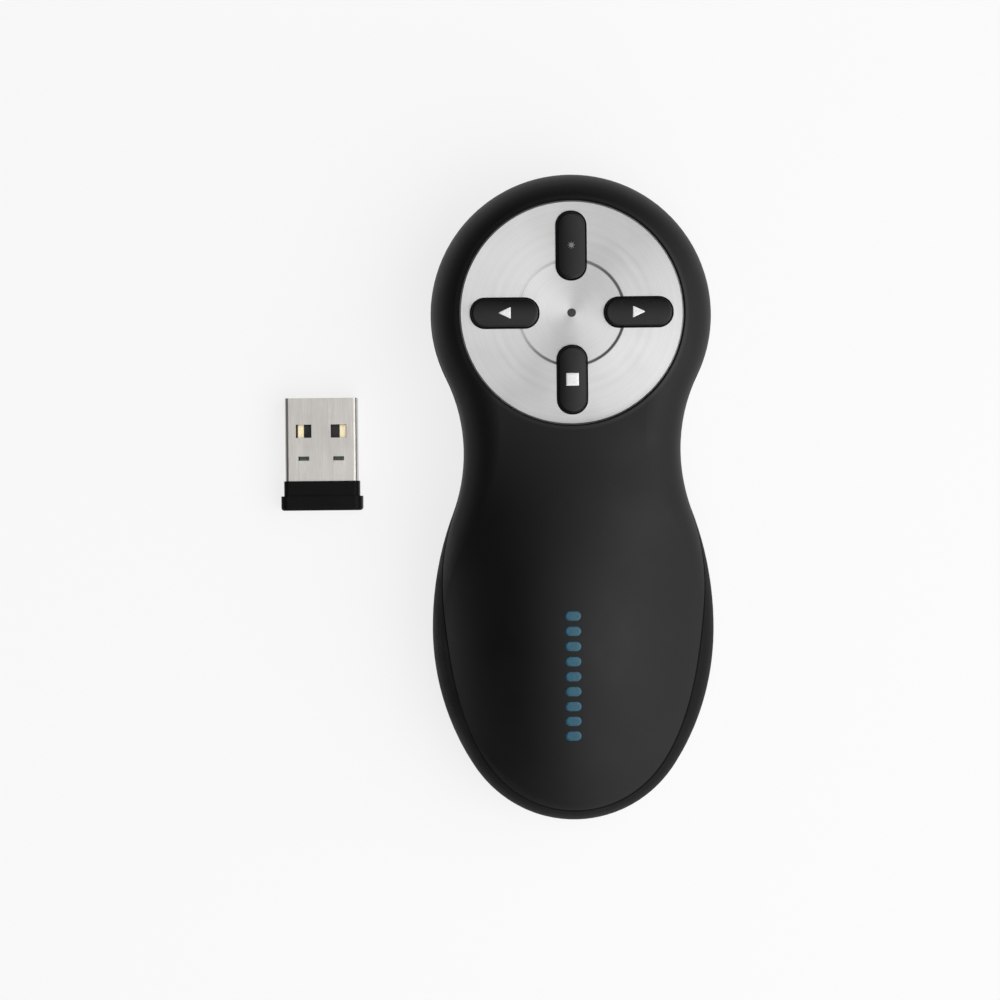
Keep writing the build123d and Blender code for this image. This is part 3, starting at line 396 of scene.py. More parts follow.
def grained(name, base, rough, size, depth=0.02 * MM, strength=0.5, **constants):
    """Moulded plastic: grain, slight change of tone, and marks of handling."""
    made, t, shader, place = material(name, base, rough, **constants)
    grain = t.group(moulded_grain(), {"Position": place, "Size": size})
    marks = t.group(handling_marks(), {"Position": place, "Size": 9 * MM})
    lighter, dusty = times(base, 1.35, 0.001), times(base, 2.2, 0.02)
    tone = t.mix(grain.outputs["Tone"], base, lighter)
    dust = t.math("MULTIPLY", marks.outputs["Dust"], 0.5)
    t.feed(shader.inputs["Base Color"], t.mix(dust, tone, dusty))
    worn = t.math("MULTIPLY", marks.outputs["Grease"], -0.07)
    uneven = t.tilt(worn, 0.05, grain.outputs["Tone"])
    t.feed(shader.inputs["Roughness"], t.math("ADD", uneven, rough))
    bump(t, shader, grain.outputs["Height"], strength, depth)
    return made


def plated(name, base, rough, across=(1, 0.03, 1), size=0.12 * MM, metallic=1.0):
    """Rolled or drawn metal with lines along one direction and a little tarnish."""
    made, t, shader, place = material(name, base, rough, metallic)
    lines = t.group(drawn_lines(), {"Position": place, "Across": across, "Size": size})
    marks = t.group(handling_marks(), {"Position": place, "Size": 4 * MM})
    dull = times(base, 0.8)
    tone = t.mix(t.math("MULTIPLY", lines.outputs["Tone"], 0.5), base, dull)
    tarnish = t.math("MULTIPLY", marks.outputs["Grease"], 0.35)
    t.feed(shader.inputs["Base Color"], t.mix(tarnish, tone, dull))
    t.feed(shader.inputs["Roughness"], t.tilt(rough, 0.1, lines.outputs["Tone"]))
    bump(t, shader, lines.outputs["Height"], strength=0.25, depth=0.01 * MM)
    return made


def board(name, cell):
    """Green solder mask over copper tracks in straight lanes, which turn from cell to cell."""
    green, mask_green, track_green = (0.01, 0.09, 0.03), (0.008, 0.075, 0.026), (0.02, 0.16, 0.055)
    lane_width, track_edge = 0.32 * MM, (0.11 * MM, 0.15 * MM)
    made, t, shader, place = material(name, green, 0.3, **{"Coat Weight": 0.5})
    blocks = t.add("TexVoronoi", {"Vector": place, "Scale": 1 / cell}, distance="CHEBYCHEV")
    turn = t.span(t.add("SeparateColor", {0: blocks.outputs["Color"]}).outputs[0], 0.49, 0.51)
    axes = t.add("SeparateXYZ", {0: place})
    along = t.math("MULTIPLY", turn, axes.outputs["X"])
    across = t.math("MULTIPLY", t.math("SUBTRACT", 1.0, turn), axes.outputs["Y"])
    lane = t.math("PINGPONG", t.math("ADD", along, across), lane_width)
    track = t.span(lane, *track_edge)
    grain = t.group(moulded_grain(), {"Position": place, "Size": 0.2 * MM})
    t.feed(shader.inputs["Base Color"], t.mix(track, mask_green, track_green))
    t.feed(shader.inputs["Roughness"], t.span(grain.outputs["Tone"], 0.0, 1.0, 0.26, 0.34))
    bump(t, shader, track, strength=0.4, depth=0.03 * MM)
    return made


def clear(name, tint, rough=0.04):
    """Clear moulded plastic or glass, with fine moulding ripples."""
    constants = {"Transmission Weight": 1.0, "IOR": 1.49}
    made, t, shader, place = material(name, tint, rough, **constants)
    bump(t, shader, t.noise(place, 0.8 * MM), strength=0.08, depth=0.01 * MM)
    return made


# ---------------------------------------------------------------- mesh helpers
# Corners nearer than this are one corner, in a made piece and in a CAD node.
PIECE_WELD, NODE_WELD = 1e-7, 1e-6
AXIS = 0.0005 * MM  # radius of a can's first and last ring, all but on its axis


def piece(name, verts, faces, body, finish, slot, smooth=True):
    """A mesh object that rides on a CAD body."""
    mesh = bpy.data.meshes.new(name)
    mesh.from_pydata([tuple(v) for v in verts], [], faces)
    made = bmesh.new()
    made.from_mesh(mesh)
    bmesh.ops.remove_doubles(made, verts=made.verts, dist=PIECE_WELD)
    bmesh.ops.recalc_face_normals(made, faces=made.faces)
    made.to_mesh(mesh)
    made.free()
    for polygon in mesh.polygons:
        polygon.use_smooth = smooth
    mesh.materials.append(finish)
    thing = bpy.data.objects.new(name, mesh)
    bpy.context.scene.collection.objects.link(thing)
    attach(thing, body)
    return thing


def soften(thing, width):
    """Rounds the sharp edges of a piece."""
    edge = thing.modifiers.new("edges", "BEVEL")
    edge.width = width
    edge.segments = 2
    edge.angle_limit = math.radians(30)
    edge.harden_normals = True
    return thing


def finish_node(node, finish):
    """Gives a CAD node its material."""
    mesh = NODES[node].data
    mesh.materials.clear()
    mesh.materials.append(finish)


def islands(node):
    """Boxes of the separate solids in a CAD node."""
    made = bmesh.new()
    made.from_mesh(NODES[node].data)
    bmesh.ops.remove_doubles(made, verts=made.verts, dist=NODE_WELD)
    left, boxes = set(made.verts), []
    while left:
        reach, found = [left.pop()], []
        while reach:
            vert = reach.pop()
            found.append(vert.co.copy())
            for edge in vert.link_edges:
                other = edge.other_vert(vert)
                if other in left:
                    left.discard(other)
                    reach.append(other)
        low = Vector([min(v[n] for v in found) for n in range(3)])
        high = Vector([max(v[n] for v in found) for n in range(3)])
        boxes.append((low, high))
    made.free()
    return sorted(boxes, key=lambda pair: tuple(round(v, 5) for v in pair[0]))


def grid(rows):
    """Vertices and faces of rows of equal length, each row closed round."""
    count = len(rows[0])
    verts = [v for row in rows for v in row]
    faces = []
    for r in range(len(rows) - 1):
        here, above = r * count, (r + 1) * count
        for c in range(count):
            nxt = (c + 1) % count
            faces.append((here + c, here + nxt, above + nxt, above + c))
    return verts, faces


def around(segments):
    """Angles in equal steps, once round."""
    return [math.tau * n / segments for n in range(segments)]


def ring(place, radius, height, angles):
    """Points of a circle round Z, put at place, a matrix."""
    return [
        place @ Vector((radius * math.cos(a), radius * math.sin(a), height)) for a in angles
    ]


def lathe(profile, segments, place):
    """Turns a profile of (radius, height) round Z, and puts it at place, a matrix."""
    angles = around(segments)
    return grid([ring(place, radius, height, angles) for radius, height in profile])


def tube(points, radius):
    """A round wire along points, closed at both ends."""
    angles = around(10)
    rows = []
    side = Vector((0.123, 0.456, 0.881)).normalized()  # any start that no wire here runs along
    for n, point in enumerate(points):
        before, after = points[max(n - 1, 0)], points[min(n + 1, len(points) - 1)]
        along = (after - before).normalized()
        side = (side - along * side.dot(along)).normalized()
        other = along.cross(side)
        rows.append([point + (side * math.cos(a) + other * math.sin(a)) * radius for a in angles])
    verts, faces = grid(rows)
    faces.append(tuple(range(len(angles)))[::-1])
    faces.append(tuple(range(len(verts) - len(angles), len(verts))))
    return verts, faces


def box_mesh(low, high):
    """Corners and faces of a box."""
    verts = [
        Vector((x, y, z)) for x in (low.x, high.x) for y in (low.y, high.y) for z in (low.z, high.z)
    ]
    faces = [
        (0, 1, 3, 2), (4, 6, 7, 5), (0, 4, 5, 1), (2, 3, 7, 6), (0, 2, 6, 4), (1, 5, 7, 3),
    ]
    return verts, faces


def ground(node):
    """Makes a function that finds the height of a CAD node's upper side at a point."""
    mesh = NODES[node].data
    tree = BVHTree.FromPolygons([v.co for v in mesh.vertices], [p.vertices for p in mesh.polygons])

    def height(x, y):
        hit = tree.ray_cast(Vector((x, y, 1)), Vector((0, 0, -1)))[0]
        if hit is None:
            raise RuntimeError(f"nothing of {node} lies under {x}, {y}")
        return hit.z
    return height


def draped(name, outline, height, lift, depth, body, finish, slot):
    """A thin patch that follows a surface: its outline shrinks to its centre in rings."""
    centre = sum(outline, Vector((0, 0))) / len(outline)

    def laid(spots, rise):
        return [Vector((p.x, p.y, height(p.x, p.y) + rise)) for p in spots]

    rings = []
    for n in range(PATCH_RINGS):
        scale = 1 - n / PATCH_RINGS
        rings.append([centre + (p - centre) * scale for p in outline])
    rows = [laid(rings[0], -depth)] + [laid(spots, lift) for spots in rings]
    verts, faces = grid(rows)
    verts += laid([centre], lift)
    count = len(outline)
    last = PATCH_RINGS * count
    faces += [(last + n, last + (n + 1) % count, len(verts) - 1) for n in range(count)]
    faces.append(tuple(range(count)))
    return piece(name, verts, faces, body, finish, slot)


def polygon(corners, rounding, per_side=3):
    """An outline with rounded corners, as points."""
    arc = 4  # steps round a corner
    points = []
    count = len(corners)
    for n, corner in enumerate(corners):
        before, after = corners[n - 1], corners[(n + 1) % count]
        to_before, to_after = (before - corner).normalized(), (after - corner).normalized()
        half = math.acos(max(-1, min(1, to_before.dot(to_after)))) / 2
        cut = rounding / math.tan(half)
        start, end = corner + to_before * cut, corner + to_after * cut
        inward = (to_before + to_after).normalized()
        centre = corner + inward * rounding / math.sin(half)
        for k in range(arc + 1):
            spot = start.lerp(end, k / arc) - centre
            points.append(centre + spot.normalized() * rounding)
        next_start = after + (corner - after).normalized() * cut
        points += [end.lerp(next_start, k / per_side) for k in range(1, per_side)]
    return points


# ---------------------------------------------------------------- operators
class CLICKER_OT_casing(bpy.types.Operator):
    """Soft-touch skin on the top shell, grained plastic on bottom shell, battery door and chassis"""

    bl_idname = "clicker.casing"
    bl_label = "Casing"

    def execute(self, context):
        s = context.scene.clicker_casing
        skin, t, shader, place = material(
            "soft_touch_skin", s.skin, s.skin_rough, **{"Specular IOR Level": 0.32}
        )
        grain = t.group(moulded_grain(), {"Position": place, "Size": 0.16 * MM})
        marks = t.group(handling_marks(), {"Position": place, "Size": 13 * MM})
        # only the radius of this group is used, to find the rim round the faceplate
        lines = t.group(turned_lines(), {"Position": place, "Centre": HEAD, "Pitch": 1 * MM})
        rim = t.group(worn_rim_and_shade_ring(), {
            "Radius": lines.outputs["Radius"], "Ring": PLATE_R + WORN_RIM, "Width": WORN_RIM,
        })
        dust_grey, rim_grey = (0.05, 0.05, 0.052), (0.02, 0.02, 0.021)
        base = t.mix(t.math("MULTIPLY", marks.outputs["Dust"], 0.35), s.skin, dust_grey)
        base = t.mix(t.math("MULTIPLY", rim.outputs["Mask"], 0.5), base, rim_grey)
        t.feed(shader.inputs["Base Color"], base)
        rough = t.tilt(s.skin_rough, -0.06, marks.outputs["Grease"])
        t.feed(shader.inputs["Roughness"], t.tilt(rough, -0.08, rim.outputs["Mask"]))
        bump(t, shader, grain.outputs["Height"], strength=0.12, depth=0.01 * MM)
        finish_node("top_shell", skin)
        plastic = grained("bare_case_plastic", s.plastic, 0.66, s.grain, **MATT)
        for node in ("bottom_shell", "battery_door"):
            finish_node(node, plastic)
        chassis = grained("chassis_plastic", (0.035, 0.035, 0.038), 0.46, 0.5 * MM)
        finish_node("inner_chassis", chassis)
        return {"FINISHED"}


class CLICKER_OT_faceplate(bpy.types.Operator):
    """Turned and brushed metal on the faceplate, and the adhesive under it"""

    bl_idname = "clicker.faceplate"
    bl_label = "Faceplate"

    def execute(self, context):
        s = context.scene.clicker_faceplate
        metal, t, shader, place = material("turned_metal", s.metal, s.rough, s.metallic)
        lines = t.group(turned_lines(), {"Position": place, "Centre": HEAD, "Pitch": s.pitch})
        marks = t.group(handling_marks(), {"Position": place, "Size": 7 * MM})
        lined, dished, shaded = (times(s.metal, factor) for factor in (0.86, 0.9, 0.35))
        base = t.mix(t.math("MULTIPLY", lines.outputs["Tone"], 0.55), s.metal, lined)
        # the dish was turned in a second pass, so its tone differs a little
        dish = t.span(lines.outputs["Radius"], *DISH_FADE, 1.0, 0.0)
        base = t.mix(t.math("MULTIPLY", dish, 0.25), base, dished)
        # painted shade: a dark ring along the step round the dish
        step_shade = t.group(worn_rim_and_shade_ring(), {
            "Radius": lines.outputs["Radius"], "Ring": DISH_STEP_SHADE, "Width": DISH_STEP_SHADE_WIDTH,
        })
        base = t.mix(t.math("MULTIPLY", step_shade.outputs["Mask"], 0.75), base, shaded)
        t.feed(shader.inputs["Base Color"], base)
        rough = t.tilt(s.rough, 0.12, lines.outputs["Tone"])
        t.feed(shader.inputs["Roughness"], t.tilt(rough, 0.05, marks.outputs["Grease"]))
        t.feed(shader.inputs["Anisotropic"], s.along)
        t.feed(shader.inputs["Anisotropic Rotation"], 0.25)
        tangent = t.add("Tangent", direction_type="RADIAL", axis="Z")
        t.feed(shader.inputs["Tangent"], tangent.outputs[0])
        bump(t, shader, lines.outputs["Height"], strength=0.22, depth=0.012 * MM)
        finish_node("faceplate", metal)
        finish_node("faceplate_tape", grained("foam_tape", (0.72, 0.71, 0.66), 0.8, 0.3 * MM))
        return {"FINISHED"}


class CLICKER_OT_buttons(bpy.types.Operator):
    """Button caps and the symbols printed on them"""

    bl_idname = "clicker.buttons"
    bl_label = "Buttons"

    def execute(self, context):
        s = context.scene.clicker_buttons
        sheen = {"Specular IOR Level": 0.3}
        cap = grained("button_plastic", s.cap, 0.38, 0.2 * MM, 0.01 * MM, 0.3, **sheen)
        ink = grained("white_print", s.print_white, 0.5, 0.12 * MM, 0.004 * MM)
        faint = grained("grey_print", s.print_grey, 0.5, 0.12 * MM, 0.004 * MM)
        for name in BUTTONS:
            finish_node(f"{name}_button", cap)
        for name, way in (("forward", 1), ("back", -1)):
            self.printed(name, self.arrow(s.arrow, way), ink)
        corners = [Vector(corner) * (s.square / 2) for corner in SQUARE]
        self.printed("stop", polygon(corners, 0.1 * MM), ink)
        self.printed("laser", self.burst(s.burst), faint)
        return {"FINISHED"}

    def arrow(self, side, way):
        """A triangle as wide as it is high, its tip a little drawn out."""
        tip = Vector((way * side * 0.55, 0))
        foot = [Vector((-way * side * 0.5, y)) for y in (-side / 2, side / 2)]
        return polygon([tip, *foot], 0.08 * MM)

    def burst(self, width):
        """A star of eight rays, half as wide between them."""
        rays = []
        for n, angle in enumerate(around(32)):
            reach = width / 2 if n % 4 == 0 else width / 4
            rays.append(Vector((math.cos(angle), math.sin(angle))) * reach)
        return rays

    def printed(self, name, outline, finish):
        """Prints an outline, given round its own middle, on the middle of a button."""
        button = f"{name}_button"
        spot = middle(button).xy
        draped(
            f"{name}_symbol", [spot + p for p in outline], ground(button), INK_LIFT, INK_DEPTH,
            f"{name}_press", finish, "button_plastic",
        )


class CLICKER_OT_palm_mark(bpy.types.Operator):
    """Row of plain blue bars let into the palm"""

    bl_idname = "clicker.palm_mark"
    bl_label = "Palm inlay"

    def execute(self, context):
        s = context.scene.clicker_mark
        blue = grained("blue_inlay", s.blue, 0.42, 0.2 * MM, 0.006 * MM)
        height = ground("top_shell")
        pitch = s.reach / s.bars
        half = Vector((s.width / 2, pitch * 0.32))
        nearly_round = half.y * 0.98  # ends all but full round
        for n in range(s.bars):
            y = s.start - pitch * (n + 0.5)
            corners = [Vector((s.across + i * half.x, y + k * half.y)) for i, k in SQUARE]
            outline = polygon(corners, nearly_round, per_side=5)
            draped(
                f"palm_bar_{n + 1}", outline, height, INLAY_LIFT, INLAY_DEPTH,
                "housing", blue, "soft_touch",
            )
        return {"FINISHED"}


class CLICKER_OT_indicator(bpy.types.Operator):
    """Indicator light and the light pipe over it"""

    bl_idname = "clicker.indicator"
    bl_label = "Indicator"

    def execute(self, context):
        finish_node("indicator_light_pipe", clear("light_pipe", (0.06, 0.062, 0.06), 0.12))
        finish_node("indicator_led", grained("led_resin", (0.8, 0.78, 0.55), 0.25, 0.2 * MM))
        return {"FINISHED"}


class CLICKER_OT_laser(bpy.types.Operator):
    """Laser module, and its bezel and window in the head"""

    bl_idname = "clicker.laser"
    bl_label = "Laser"

    def execute(self, context):
        brass = plated("turned_brass", (0.62, 0.44, 0.17), 0.28, (0.03, 1, 0.03))
        finish_node("laser_barrel", brass)
        finish_node("laser_diode", plated("gold_can", (0.78, 0.58, 0.22), 0.24, (1, 0.05, 1)))
        finish_node("laser_leads", plated("tinned_lead", (0.62, 0.62, 0.6), 0.3))
        finish_node("laser_lens", clear("lens_glass", (0.92, 0.94, 0.95)))
        finish_node("laser_window", clear("window_glass", (0.35, 0.08, 0.07)))
        bezel = grained("polished_black", (0.008, 0.008, 0.009), 0.14, 0.4 * MM, 0.004 * MM)
        finish_node("laser_bezel", bezel)
        return {"FINISHED"}


class CLICKER_OT_batteries(bpy.types.Operator):
    """Cells with their wraps, the contact plates and the coiled springs"""

    bl_idname = "clicker.batteries"
    bl_label = "Batteries"

    def execute(self, context):
        steel = plated("nickel_spring", (0.66, 0.65, 0.62), 0.26)
        for node in ("battery_terminal_negative", "battery_terminal_positive", "battery_bridge"):
            finish_node(node, steel)
        self.cell("left", 1)
        self.cell("right", -1)
        self.spring("battery_spring_tail", 1, steel)
        self.spring("battery_spring_head", -1, steel)
        return {"FINISHED"}

    def cell(self, side, way):
        """A cell: its can with crimped shoulder and nub, and the printed wrap round it."""
        node = f"battery_cell_{side}"
        low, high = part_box(node)
        radius = (high.x - low.x) / 2
        long = high.y - low.y
        centre = middle(node)
        start = low.y if way > 0 else high.y
        turned = Matrix.Rotation(-way * math.pi / 2, 4, "X")
        place = Matrix.Translation((centre.x, start, centre.z)) @ turned
        inner = radius - 0.12 * MM
        nub = 1.9 * MM
        shoulder = long - 0.8 * MM
        can = [
            # flat end, dished in its middle
            (AXIS, 0.12 * MM), (3.0 * MM, 0.12 * MM), (3.4 * MM, 0.0), (4.4 * MM, 0.02 * MM),
            # side
            (inner - 0.25 * MM, 0.1 * MM), (inner, 0.5 * MM), (inner, shoulder - 0.6 * MM),
            # crimped shoulder
            (inner - 0.3 * MM, shoulder - 0.1 * MM), (4.2 * MM, shoulder - 0.25 * MM),
            (3.9 * MM, shoulder - 0.55 * MM), (2.6 * MM, shoulder - 0.5 * MM),
            # nub
            (nub + 0.15 * MM, shoulder), (nub, shoulder + 0.12 * MM), (nub, long - 0.2 * MM),
            (nub - 0.2 * MM, long), (AXIS, long),
        ]
        steel = plated(f"cell_can_{side}", (0.6, 0.6, 0.58), 0.3, (0.05, 1, 0.05))
        body = piece(f"cell_can_{side}", *lathe(can, 48, place), "housing", steel, "cell_wrap")
        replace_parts(body, node)
        soften(body, 0.05 * MM)
        printed = self.wrap_print(side, way, start + way * (long - 9 * MM))
        film = 0.07 * MM
        outside = [
            (inner - 0.9 * MM, 0.06 * MM), (inner - 0.4 * MM, 0.06 * MM),
            (radius - 0.1 * MM, 0.25 * MM), (radius, 0.6 * MM),
            (radius, shoulder - 0.7 * MM), (radius - 0.1 * MM, shoulder - 0.25 * MM),
            (inner - 0.35 * MM, shoulder - 0.02 * MM), (inner - 0.9 * MM, shoulder - 0.04 * MM),
        ]
        lowest, highest = 0.13 * MM, shoulder - 0.1 * MM
        inside = [(r - film, min(max(h, lowest), highest)) for r, h in reversed(outside)]
        sleeve = lathe(outside + inside + outside[:1], 64, place)
        piece(f"cell_wrap_{side}", *sleeve, "housing", printed, "cell_wrap")

    def wrap_print(self, side, way, edge):
        """Dark blue film that turns gold beyond edge, a place along the cell."""
        deep_blue, blue, gold = (0.018, 0.028, 0.05), (0.024, 0.036, 0.06), (0.55, 0.42, 0.16)
        blur = 0.1 * MM
        film, t, shader, place = material(
            f"cell_wrap_{side}", (0.02, 0.03, 0.05), 0.3, **{"Coat Weight": 0.4}
        )
        along = t.add("SeparateXYZ", {0: place}).outputs["Y"]
        before, beyond = (0.0, 1.0) if way > 0 else (1.0, 0.0)
        band = t.span(along, edge - blur, edge + blur, before, beyond)
        crinkle = t.noise(place, 1.4 * MM, detail=3.0)
        tone = t.mix(t.span(crinkle, 0.35, 0.65), deep_blue, blue)
        t.feed(shader.inputs["Base Color"], t.mix(band, tone, gold))
        bump(t, shader, crinkle, strength=0.2, depth=0.03 * MM)
        return film

    def spring(self, node, way, finish):
        """A tapering coil with closed end turns, its wide end on the plate."""
        low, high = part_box(node)
        wire, taper = 0.25 * MM, 1.3 * MM
        turns, closed, steps = 4.0, 0.7, 40  # closed turns at each end, and points on each turn
        centre = middle(node)
        start = low.y if way > 0 else high.y
        depth = high.y - low.y - 2 * wire
        wide = (high.x - low.x) / 2 - wire
        points = []
        for n in range(int(turns * steps) + 1):
            turn = n / steps
            rise = min(max((turn - closed) / (turns - 2 * closed), 0), 1)
            radius = wide - rise * taper
            angle = math.tau * turn
            x, z = radius * math.cos(angle), radius * math.sin(angle)
            y = start + way * (wire + rise * depth)
            points.append(Vector((centre.x + x, y, centre.z + z)))
        coil = piece(node + "_coil", *tube(points, wire), "housing", finish, "spring_steel")
        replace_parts(coil, node)


class CLICKER_OT_screws(bpy.types.Operator):
    """Cross-head screws with their threads"""

    bl_idname = "clicker.screws"
    bl_label = "Screws"

    def execute(self, context):
        steel = plated("black_zinc", (0.16, 0.16, 0.165), 0.32, (0.3, 0.3, 1), 0.2 * MM)
        for node, way in (("case_screws", 1), ("chassis_screws", -1)):
            for n, (low, high) in enumerate(islands(node)):
                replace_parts(self.screw(f"{node}_{n + 1}", low, high, way, steel), node)
        return {"FINISHED"}

    def screw(self, name, low, high, way, finish):
        """One screw: way is 1 where its head is below and its tip points up."""
        centre = (low + high) / 2
        end = low.z if way > 0 else high.z
        turned = Matrix.Rotation(0 if way > 0 else math.pi, 4, "X")
        place = Matrix.Translation((centre.x, centre.y, end)) @ turned
        head_r, head_h = (high.x - low.x) / 2, 1.3 * MM
        core, crest, pitch = 0.72 * MM, 1.0 * MM, 0.8 * MM
        long = high.z - low.z
        angles = around(32)
        rows = self.head_face(place, head_r, angles)
        edge = ((head_r * 0.95, 0.36 * MM), (head_r, 0.55 * MM), (head_r, head_h), (core, head_h))
        rows += [ring(place, radius, height, angles) for radius, height in edge]
        rows_per_turn = 8
        fade_out, fade_in = 1.2 * MM, 0.3 * MM  # how the thread ends at the tip and the head
        point, blunt = 1.5 * MM, 0.35  # length of the pointed end, and its width against core
        count = int((long - head_h) / pitch * rows_per_turn)
        for k in range(count + 1):
            z = head_h + (long - head_h) * k / count
            fade = min(1, (long - z) / fade_out, (z - head_h) / fade_in)
            stem = core * min(1, blunt + (long - z) / point)
            row = []
            for a in angles:
                wave = abs(((z / pitch - a / math.tau) % 1) * 2 - 1)
                r = stem + (crest - core) * max(0, wave * 2 - 1) * fade
                row.append(place @ Vector((r * math.cos(a), r * math.sin(a), z)))
            rows.append(row)
        rows.append(ring(place, 0.02 * MM, long, angles))
        return piece(name, *grid(rows), "housing", finish, "screw_steel")

    def head_face(self, place, head_r, angles):
        """Rings of the head's face, from the middle out, with the cross pressed into it."""
        face_r, face_rings, dome = head_r * 0.86, 12, 0.28 * MM
        arm, reach, depth, taper = 0.26 * MM, 1.05 * MM, 0.75 * MM, 1.5 * MM
        rows = []
        for k in range(face_rings + 1):
            r = face_r * k / face_rings
            row = []
            for a in angles:
                x, y = r * math.cos(a), r * math.sin(a)
                near, far = sorted((abs(x), abs(y)))
                cross = depth * (1 - far / taper) if near < arm and far < reach else 0
                row.append(place @ Vector((x, y, dome * (r / head_r) ** 2 + cross)))
            rows.append(row)
        return rows


class CLICKER_OT_electronics(bpy.types.Operator):
    """Circuit board, the parts on it, the four tact switches and the bay switch"""

    bl_idname = "clicker.electronics"
    bl_label = "Electronics"

    def execute(self, context):
        finish_node("main_pcb", board("clicker_board", 3.2 * MM))
        finish_node("radio_chip", grained("chip_epoxy", (0.02, 0.02, 0.022), 0.5, 0.15 * MM))
        finish_node("radio_crystal", plated("crystal_can", (0.66, 0.66, 0.64), 0.25))
        self.chip_parts()
        finish_node("board_antenna", plated("copper_track", (0.7, 0.4, 0.16), 0.3))
        base = grained("switch_plastic", (0.02, 0.02, 0.021), 0.5, 0.25 * MM)
        cover = plated("switch_steel", (0.68, 0.68, 0.66), 0.28)
        stem = grained("switch_stem", (0.78, 0.75, 0.66), 0.4, 0.3 * MM)
        for name in BUTTONS:
            finish_node(f"{name}_switch_base", base)
            finish_node(f"{name}_switch_cover", cover)
            self.snap_dome(name, cover)
            finish_node(f"{name}_switch_stem", stem)
        finish_node("bay_switch_body", base)
        finish_node("bay_switch_plunger", stem)
        return {"FINISHED"}

    def snap_dome(self, name, finish):
        """The switch's spring dome, its rim on the board: a copy of the CAD node's mesh that rides on
        the housing.
        """
        node, joint = f"{name}_switch_dome", f"{name}_button_press"
        mesh = NODES[node].data.copy()
        mesh.materials.clear()
        mesh.materials.append(finish)
        dome = bpy.data.objects.new(node + "_spring", mesh)
        bpy.context.scene.collection.objects.link(dome)
        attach(dome, "housing")
        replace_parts(dome, node)
        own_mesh(dome)

    def chip_parts(self):
        """Each chip part gets a ceramic middle between two tinned ends."""
        ceramic = grained("chip_ceramic", (0.34, 0.22, 0.12), 0.35, 0.15 * MM)
        tin = plated("chip_ends", (0.7, 0.7, 0.68), 0.3)
        end_share, inset, edge = 0.24, 0.02 * MM, 0.03 * MM
        for n, (low, high) in enumerate(islands("board_capacitors")):
            cap = (high.x - low.x) * end_share
            for part, x0, x1, finish, shrink in (
                ("body", low.x + cap, high.x - cap, ceramic, inset),
                ("end_a", low.x, low.x + cap, tin, 0.0),
                ("end_b", high.x - cap, high.x, tin, 0.0),
            ):
                bottom = Vector((x0, low.y + shrink, low.z))
                top = Vector((x1, high.y - shrink, high.z - shrink))
                thing = piece(
                    f"chip_part_{n + 1}_{part}", *box_mesh(bottom, top), "housing", finish,
                    "chip_parts", smooth=False,
                )
                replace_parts(soften(thing, edge), "board_capacitors")


class CLICKER_OT_receiver(bpy.types.Operator):
    """USB receiver: rolled shield, tongue, contacts and cap"""

    bl_idname = "clicker.receiver"
    bl_label = "Receiver"

    def execute(self, context):
        s = context.scene.clicker_receiver
        epoxy, cap_black = (0.02, 0.02, 0.022), (0.0015, 0.0015, 0.002)
        for node, finish in (
            ("shield", plated("plug_steel", s.steel, s.rough, (1, 0.02, 1), 0.1 * MM, 0.85)),
            ("insulator", grained("tongue_plastic", (0.012, 0.012, 0.013), 0.45, 0.3 * MM)),
            ("contacts", plated("gold_flash", (0.85, 0.74, 0.5), 0.22)),
            ("board", board("receiver_board", 2.4 * MM)),
            ("chip", grained("receiver_epoxy", epoxy, 0.5, 0.15 * MM)),
            ("cap", grained("receiver_cap_plastic", cap_black, 0.6, 0.25 * MM, **MATT)),
        ):
            finish_node(f"receiver_{node}", finish)
        return {"FINISHED"}


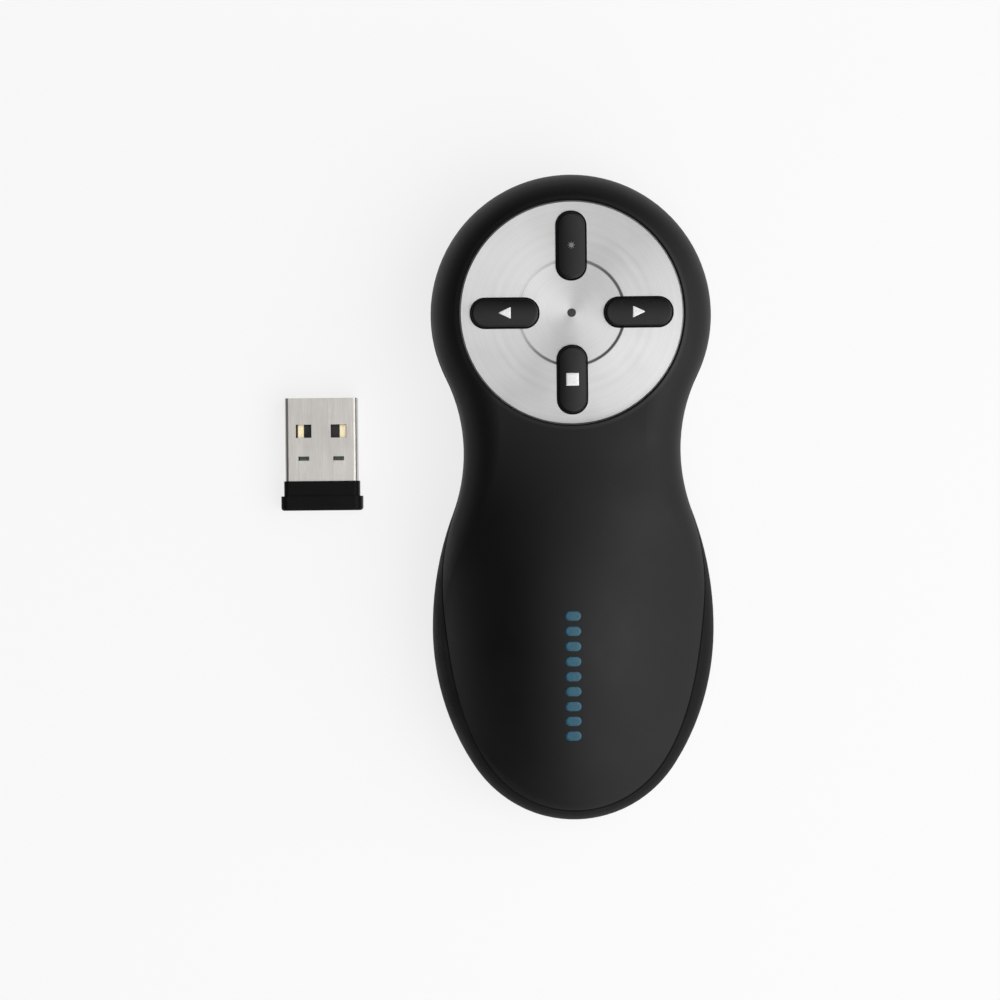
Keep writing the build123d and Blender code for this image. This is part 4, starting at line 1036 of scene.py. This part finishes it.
class CLICKER_OT_stage(bpy.types.Operator):
    """White floor, soft studio light and the camera"""

    bl_idname = "clicker.stage"
    bl_label = "Stage"

    def execute(self, context):
        s = context.scene.clicker_studio
        self.floor(s)
        self.world(context.scene)
        aim = Vector((s.aim_x, s.aim_y, VIEW_LEVEL))
        for name, (offset, size, radiance) in LAMPS.items():
            self.lamp(name, aim, Vector(offset), size, radiance)
        camera = bpy.data.cameras.new("camera")
        camera.sensor_width = SENSOR_MM
        camera.lens = camera.sensor_width * (s.distance - aim.z) / s.width
        camera.clip_start = CLIP_START
        holder = bpy.data.objects.new("camera", camera)
        context.scene.collection.objects.link(holder)
        holder.location = (s.aim_x, s.aim_y, s.distance)
        holder.rotation_euler = (0, 0, s.roll)
        context.scene.camera = holder
        context.scene.view_settings.view_transform = "Standard"
        return {"FINISHED"}

    def floor(self, s):
        mesh = bpy.data.meshes.new("floor")
        corners = [(x * FLOOR_HALF, y * FLOOR_HALF, 0) for x, y in SQUARE]
        mesh.from_pydata(corners, [], [(0, 1, 2, 3)])
        mesh.materials.append(self.paper(s))
        thing = bpy.data.objects.new("floor", mesh)
        thing.location.z = -FLOOR_DROP
        bpy.context.scene.collection.objects.link(thing)

    def paper(self, s):
        """White paper. From below it lets the camera through, so the underside can be seen."""
        made, t, shader, place = material("studio_paper", s.floor, 0.9)
        fibre = t.noise(place, 0.5 * MM, detail=3.0)
        t.feed(shader.inputs["Base Color"], t.mix(fibre, s.floor, times(s.floor, 0.985)))
        t.feed(shader.inputs["Specular IOR Level"], 0.0)
        bump(t, shader, fibre, strength=0.05, depth=0.01 * MM)
        light = t.add("Emission", {"Color": rgba((1, 1, 1)), "Strength": 1.0}).outputs[0]
        rays = t.add("LightPath").outputs
        seen = t.math("MAXIMUM", rays["Is Camera Ray"], rays["Is Glossy Ray"])
        seen = t.math("MAXIMUM", seen, rays["Is Transmission Ray"])
        glow = t.math("MULTIPLY", seen, FLOOR_GLOW)
        above = t.add("MixShader", {0: glow, 1: shader.outputs[0], 2: light}).outputs[0]
        below = t.add("BsdfTransparent").outputs[0]
        under = t.add("NewGeometry").outputs["Backfacing"]
        sides = t.add("MixShader", {0: under, 1: above, 2: below})
        t.feed(made.node_tree.nodes["Material Output"].inputs["Surface"], sides.outputs[0])
        return made

    def world(self, scene):
        scene.world = bpy.data.worlds.new("studio")
        scene.world.use_nodes = True
        back = scene.world.node_tree.nodes["Background"]
        back.inputs["Strength"].default_value = ROOM_LIGHT
        back.inputs["Color"].default_value = rgba((1, 1, 1))

    def lamp(self, name, aim, offset, size, radiance):
        """A soft box that looks as bright as radiance."""
        light = bpy.data.lights.new(name, "AREA")
        light.shape = "RECTANGLE"
        light.size, light.size_y = size
        light.energy = radiance * math.pi * size[0] * size[1]
        holder = bpy.data.objects.new(name, light)
        bpy.context.scene.collection.objects.link(holder)
        holder.location = aim + offset
        holder.rotation_euler = offset.to_track_quat("Z", "Y").to_euler()
        holder.visible_camera = False


class CLICKER_PT_sidebar(bpy.types.Panel):
    """Lists the clicker's pieces and their settings"""

    bl_idname = "CLICKER_PT_sidebar"
    bl_label = "Clicker"
    bl_space_type = "VIEW_3D"
    bl_region_type = "UI"
    bl_category = "Clicker"

    def draw(self, context):
        for operator in OPERATORS:
            self.layout.operator(operator.bl_idname)
        for name, settings in SETTINGS.items():
            box = self.layout.box()
            box.label(text=name)
            group = getattr(context.scene, f"clicker_{name}")
            for prop in settings.__annotations__:
                box.prop(group, prop)


OPERATORS = (
    CLICKER_OT_stage,
    CLICKER_OT_casing,
    CLICKER_OT_faceplate,
    CLICKER_OT_buttons,
    CLICKER_OT_palm_mark,
    CLICKER_OT_indicator,
    CLICKER_OT_laser,
    CLICKER_OT_batteries,
    CLICKER_OT_screws,
    CLICKER_OT_electronics,
    CLICKER_OT_receiver,
)
SETTINGS = {
    "casing": CasingSettings,
    "faceplate": FaceplateSettings,
    "buttons": ButtonSettings,
    "mark": MarkSettings,
    "receiver": ReceiverSettings,
    "studio": StudioSettings,
}


def register():
    for cls in (*SETTINGS.values(), *OPERATORS, CLICKER_PT_sidebar):
        bpy.utils.register_class(cls)
    for name, settings in SETTINGS.items():
        setattr(bpy.types.Scene, f"clicker_{name}", PointerProperty(type=settings))


def unregister():
    for name in SETTINGS:
        delattr(bpy.types.Scene, f"clicker_{name}")
    for cls in reversed((*SETTINGS.values(), *OPERATORS, CLICKER_PT_sidebar)):
        bpy.utils.unregister_class(cls)


def main():
    register()
    # Blender starts with these three, and the frame leaves them in place
    for thing in list(bpy.data.objects):
        if thing.name in ("Cube", "Light", "Camera"):
            bpy.data.objects.remove(thing)
    for operator in OPERATORS:
        space, name = operator.bl_idname.split(".")
        getattr(getattr(bpy.ops, space), name)()


if __name__ == "__main__":
    main()
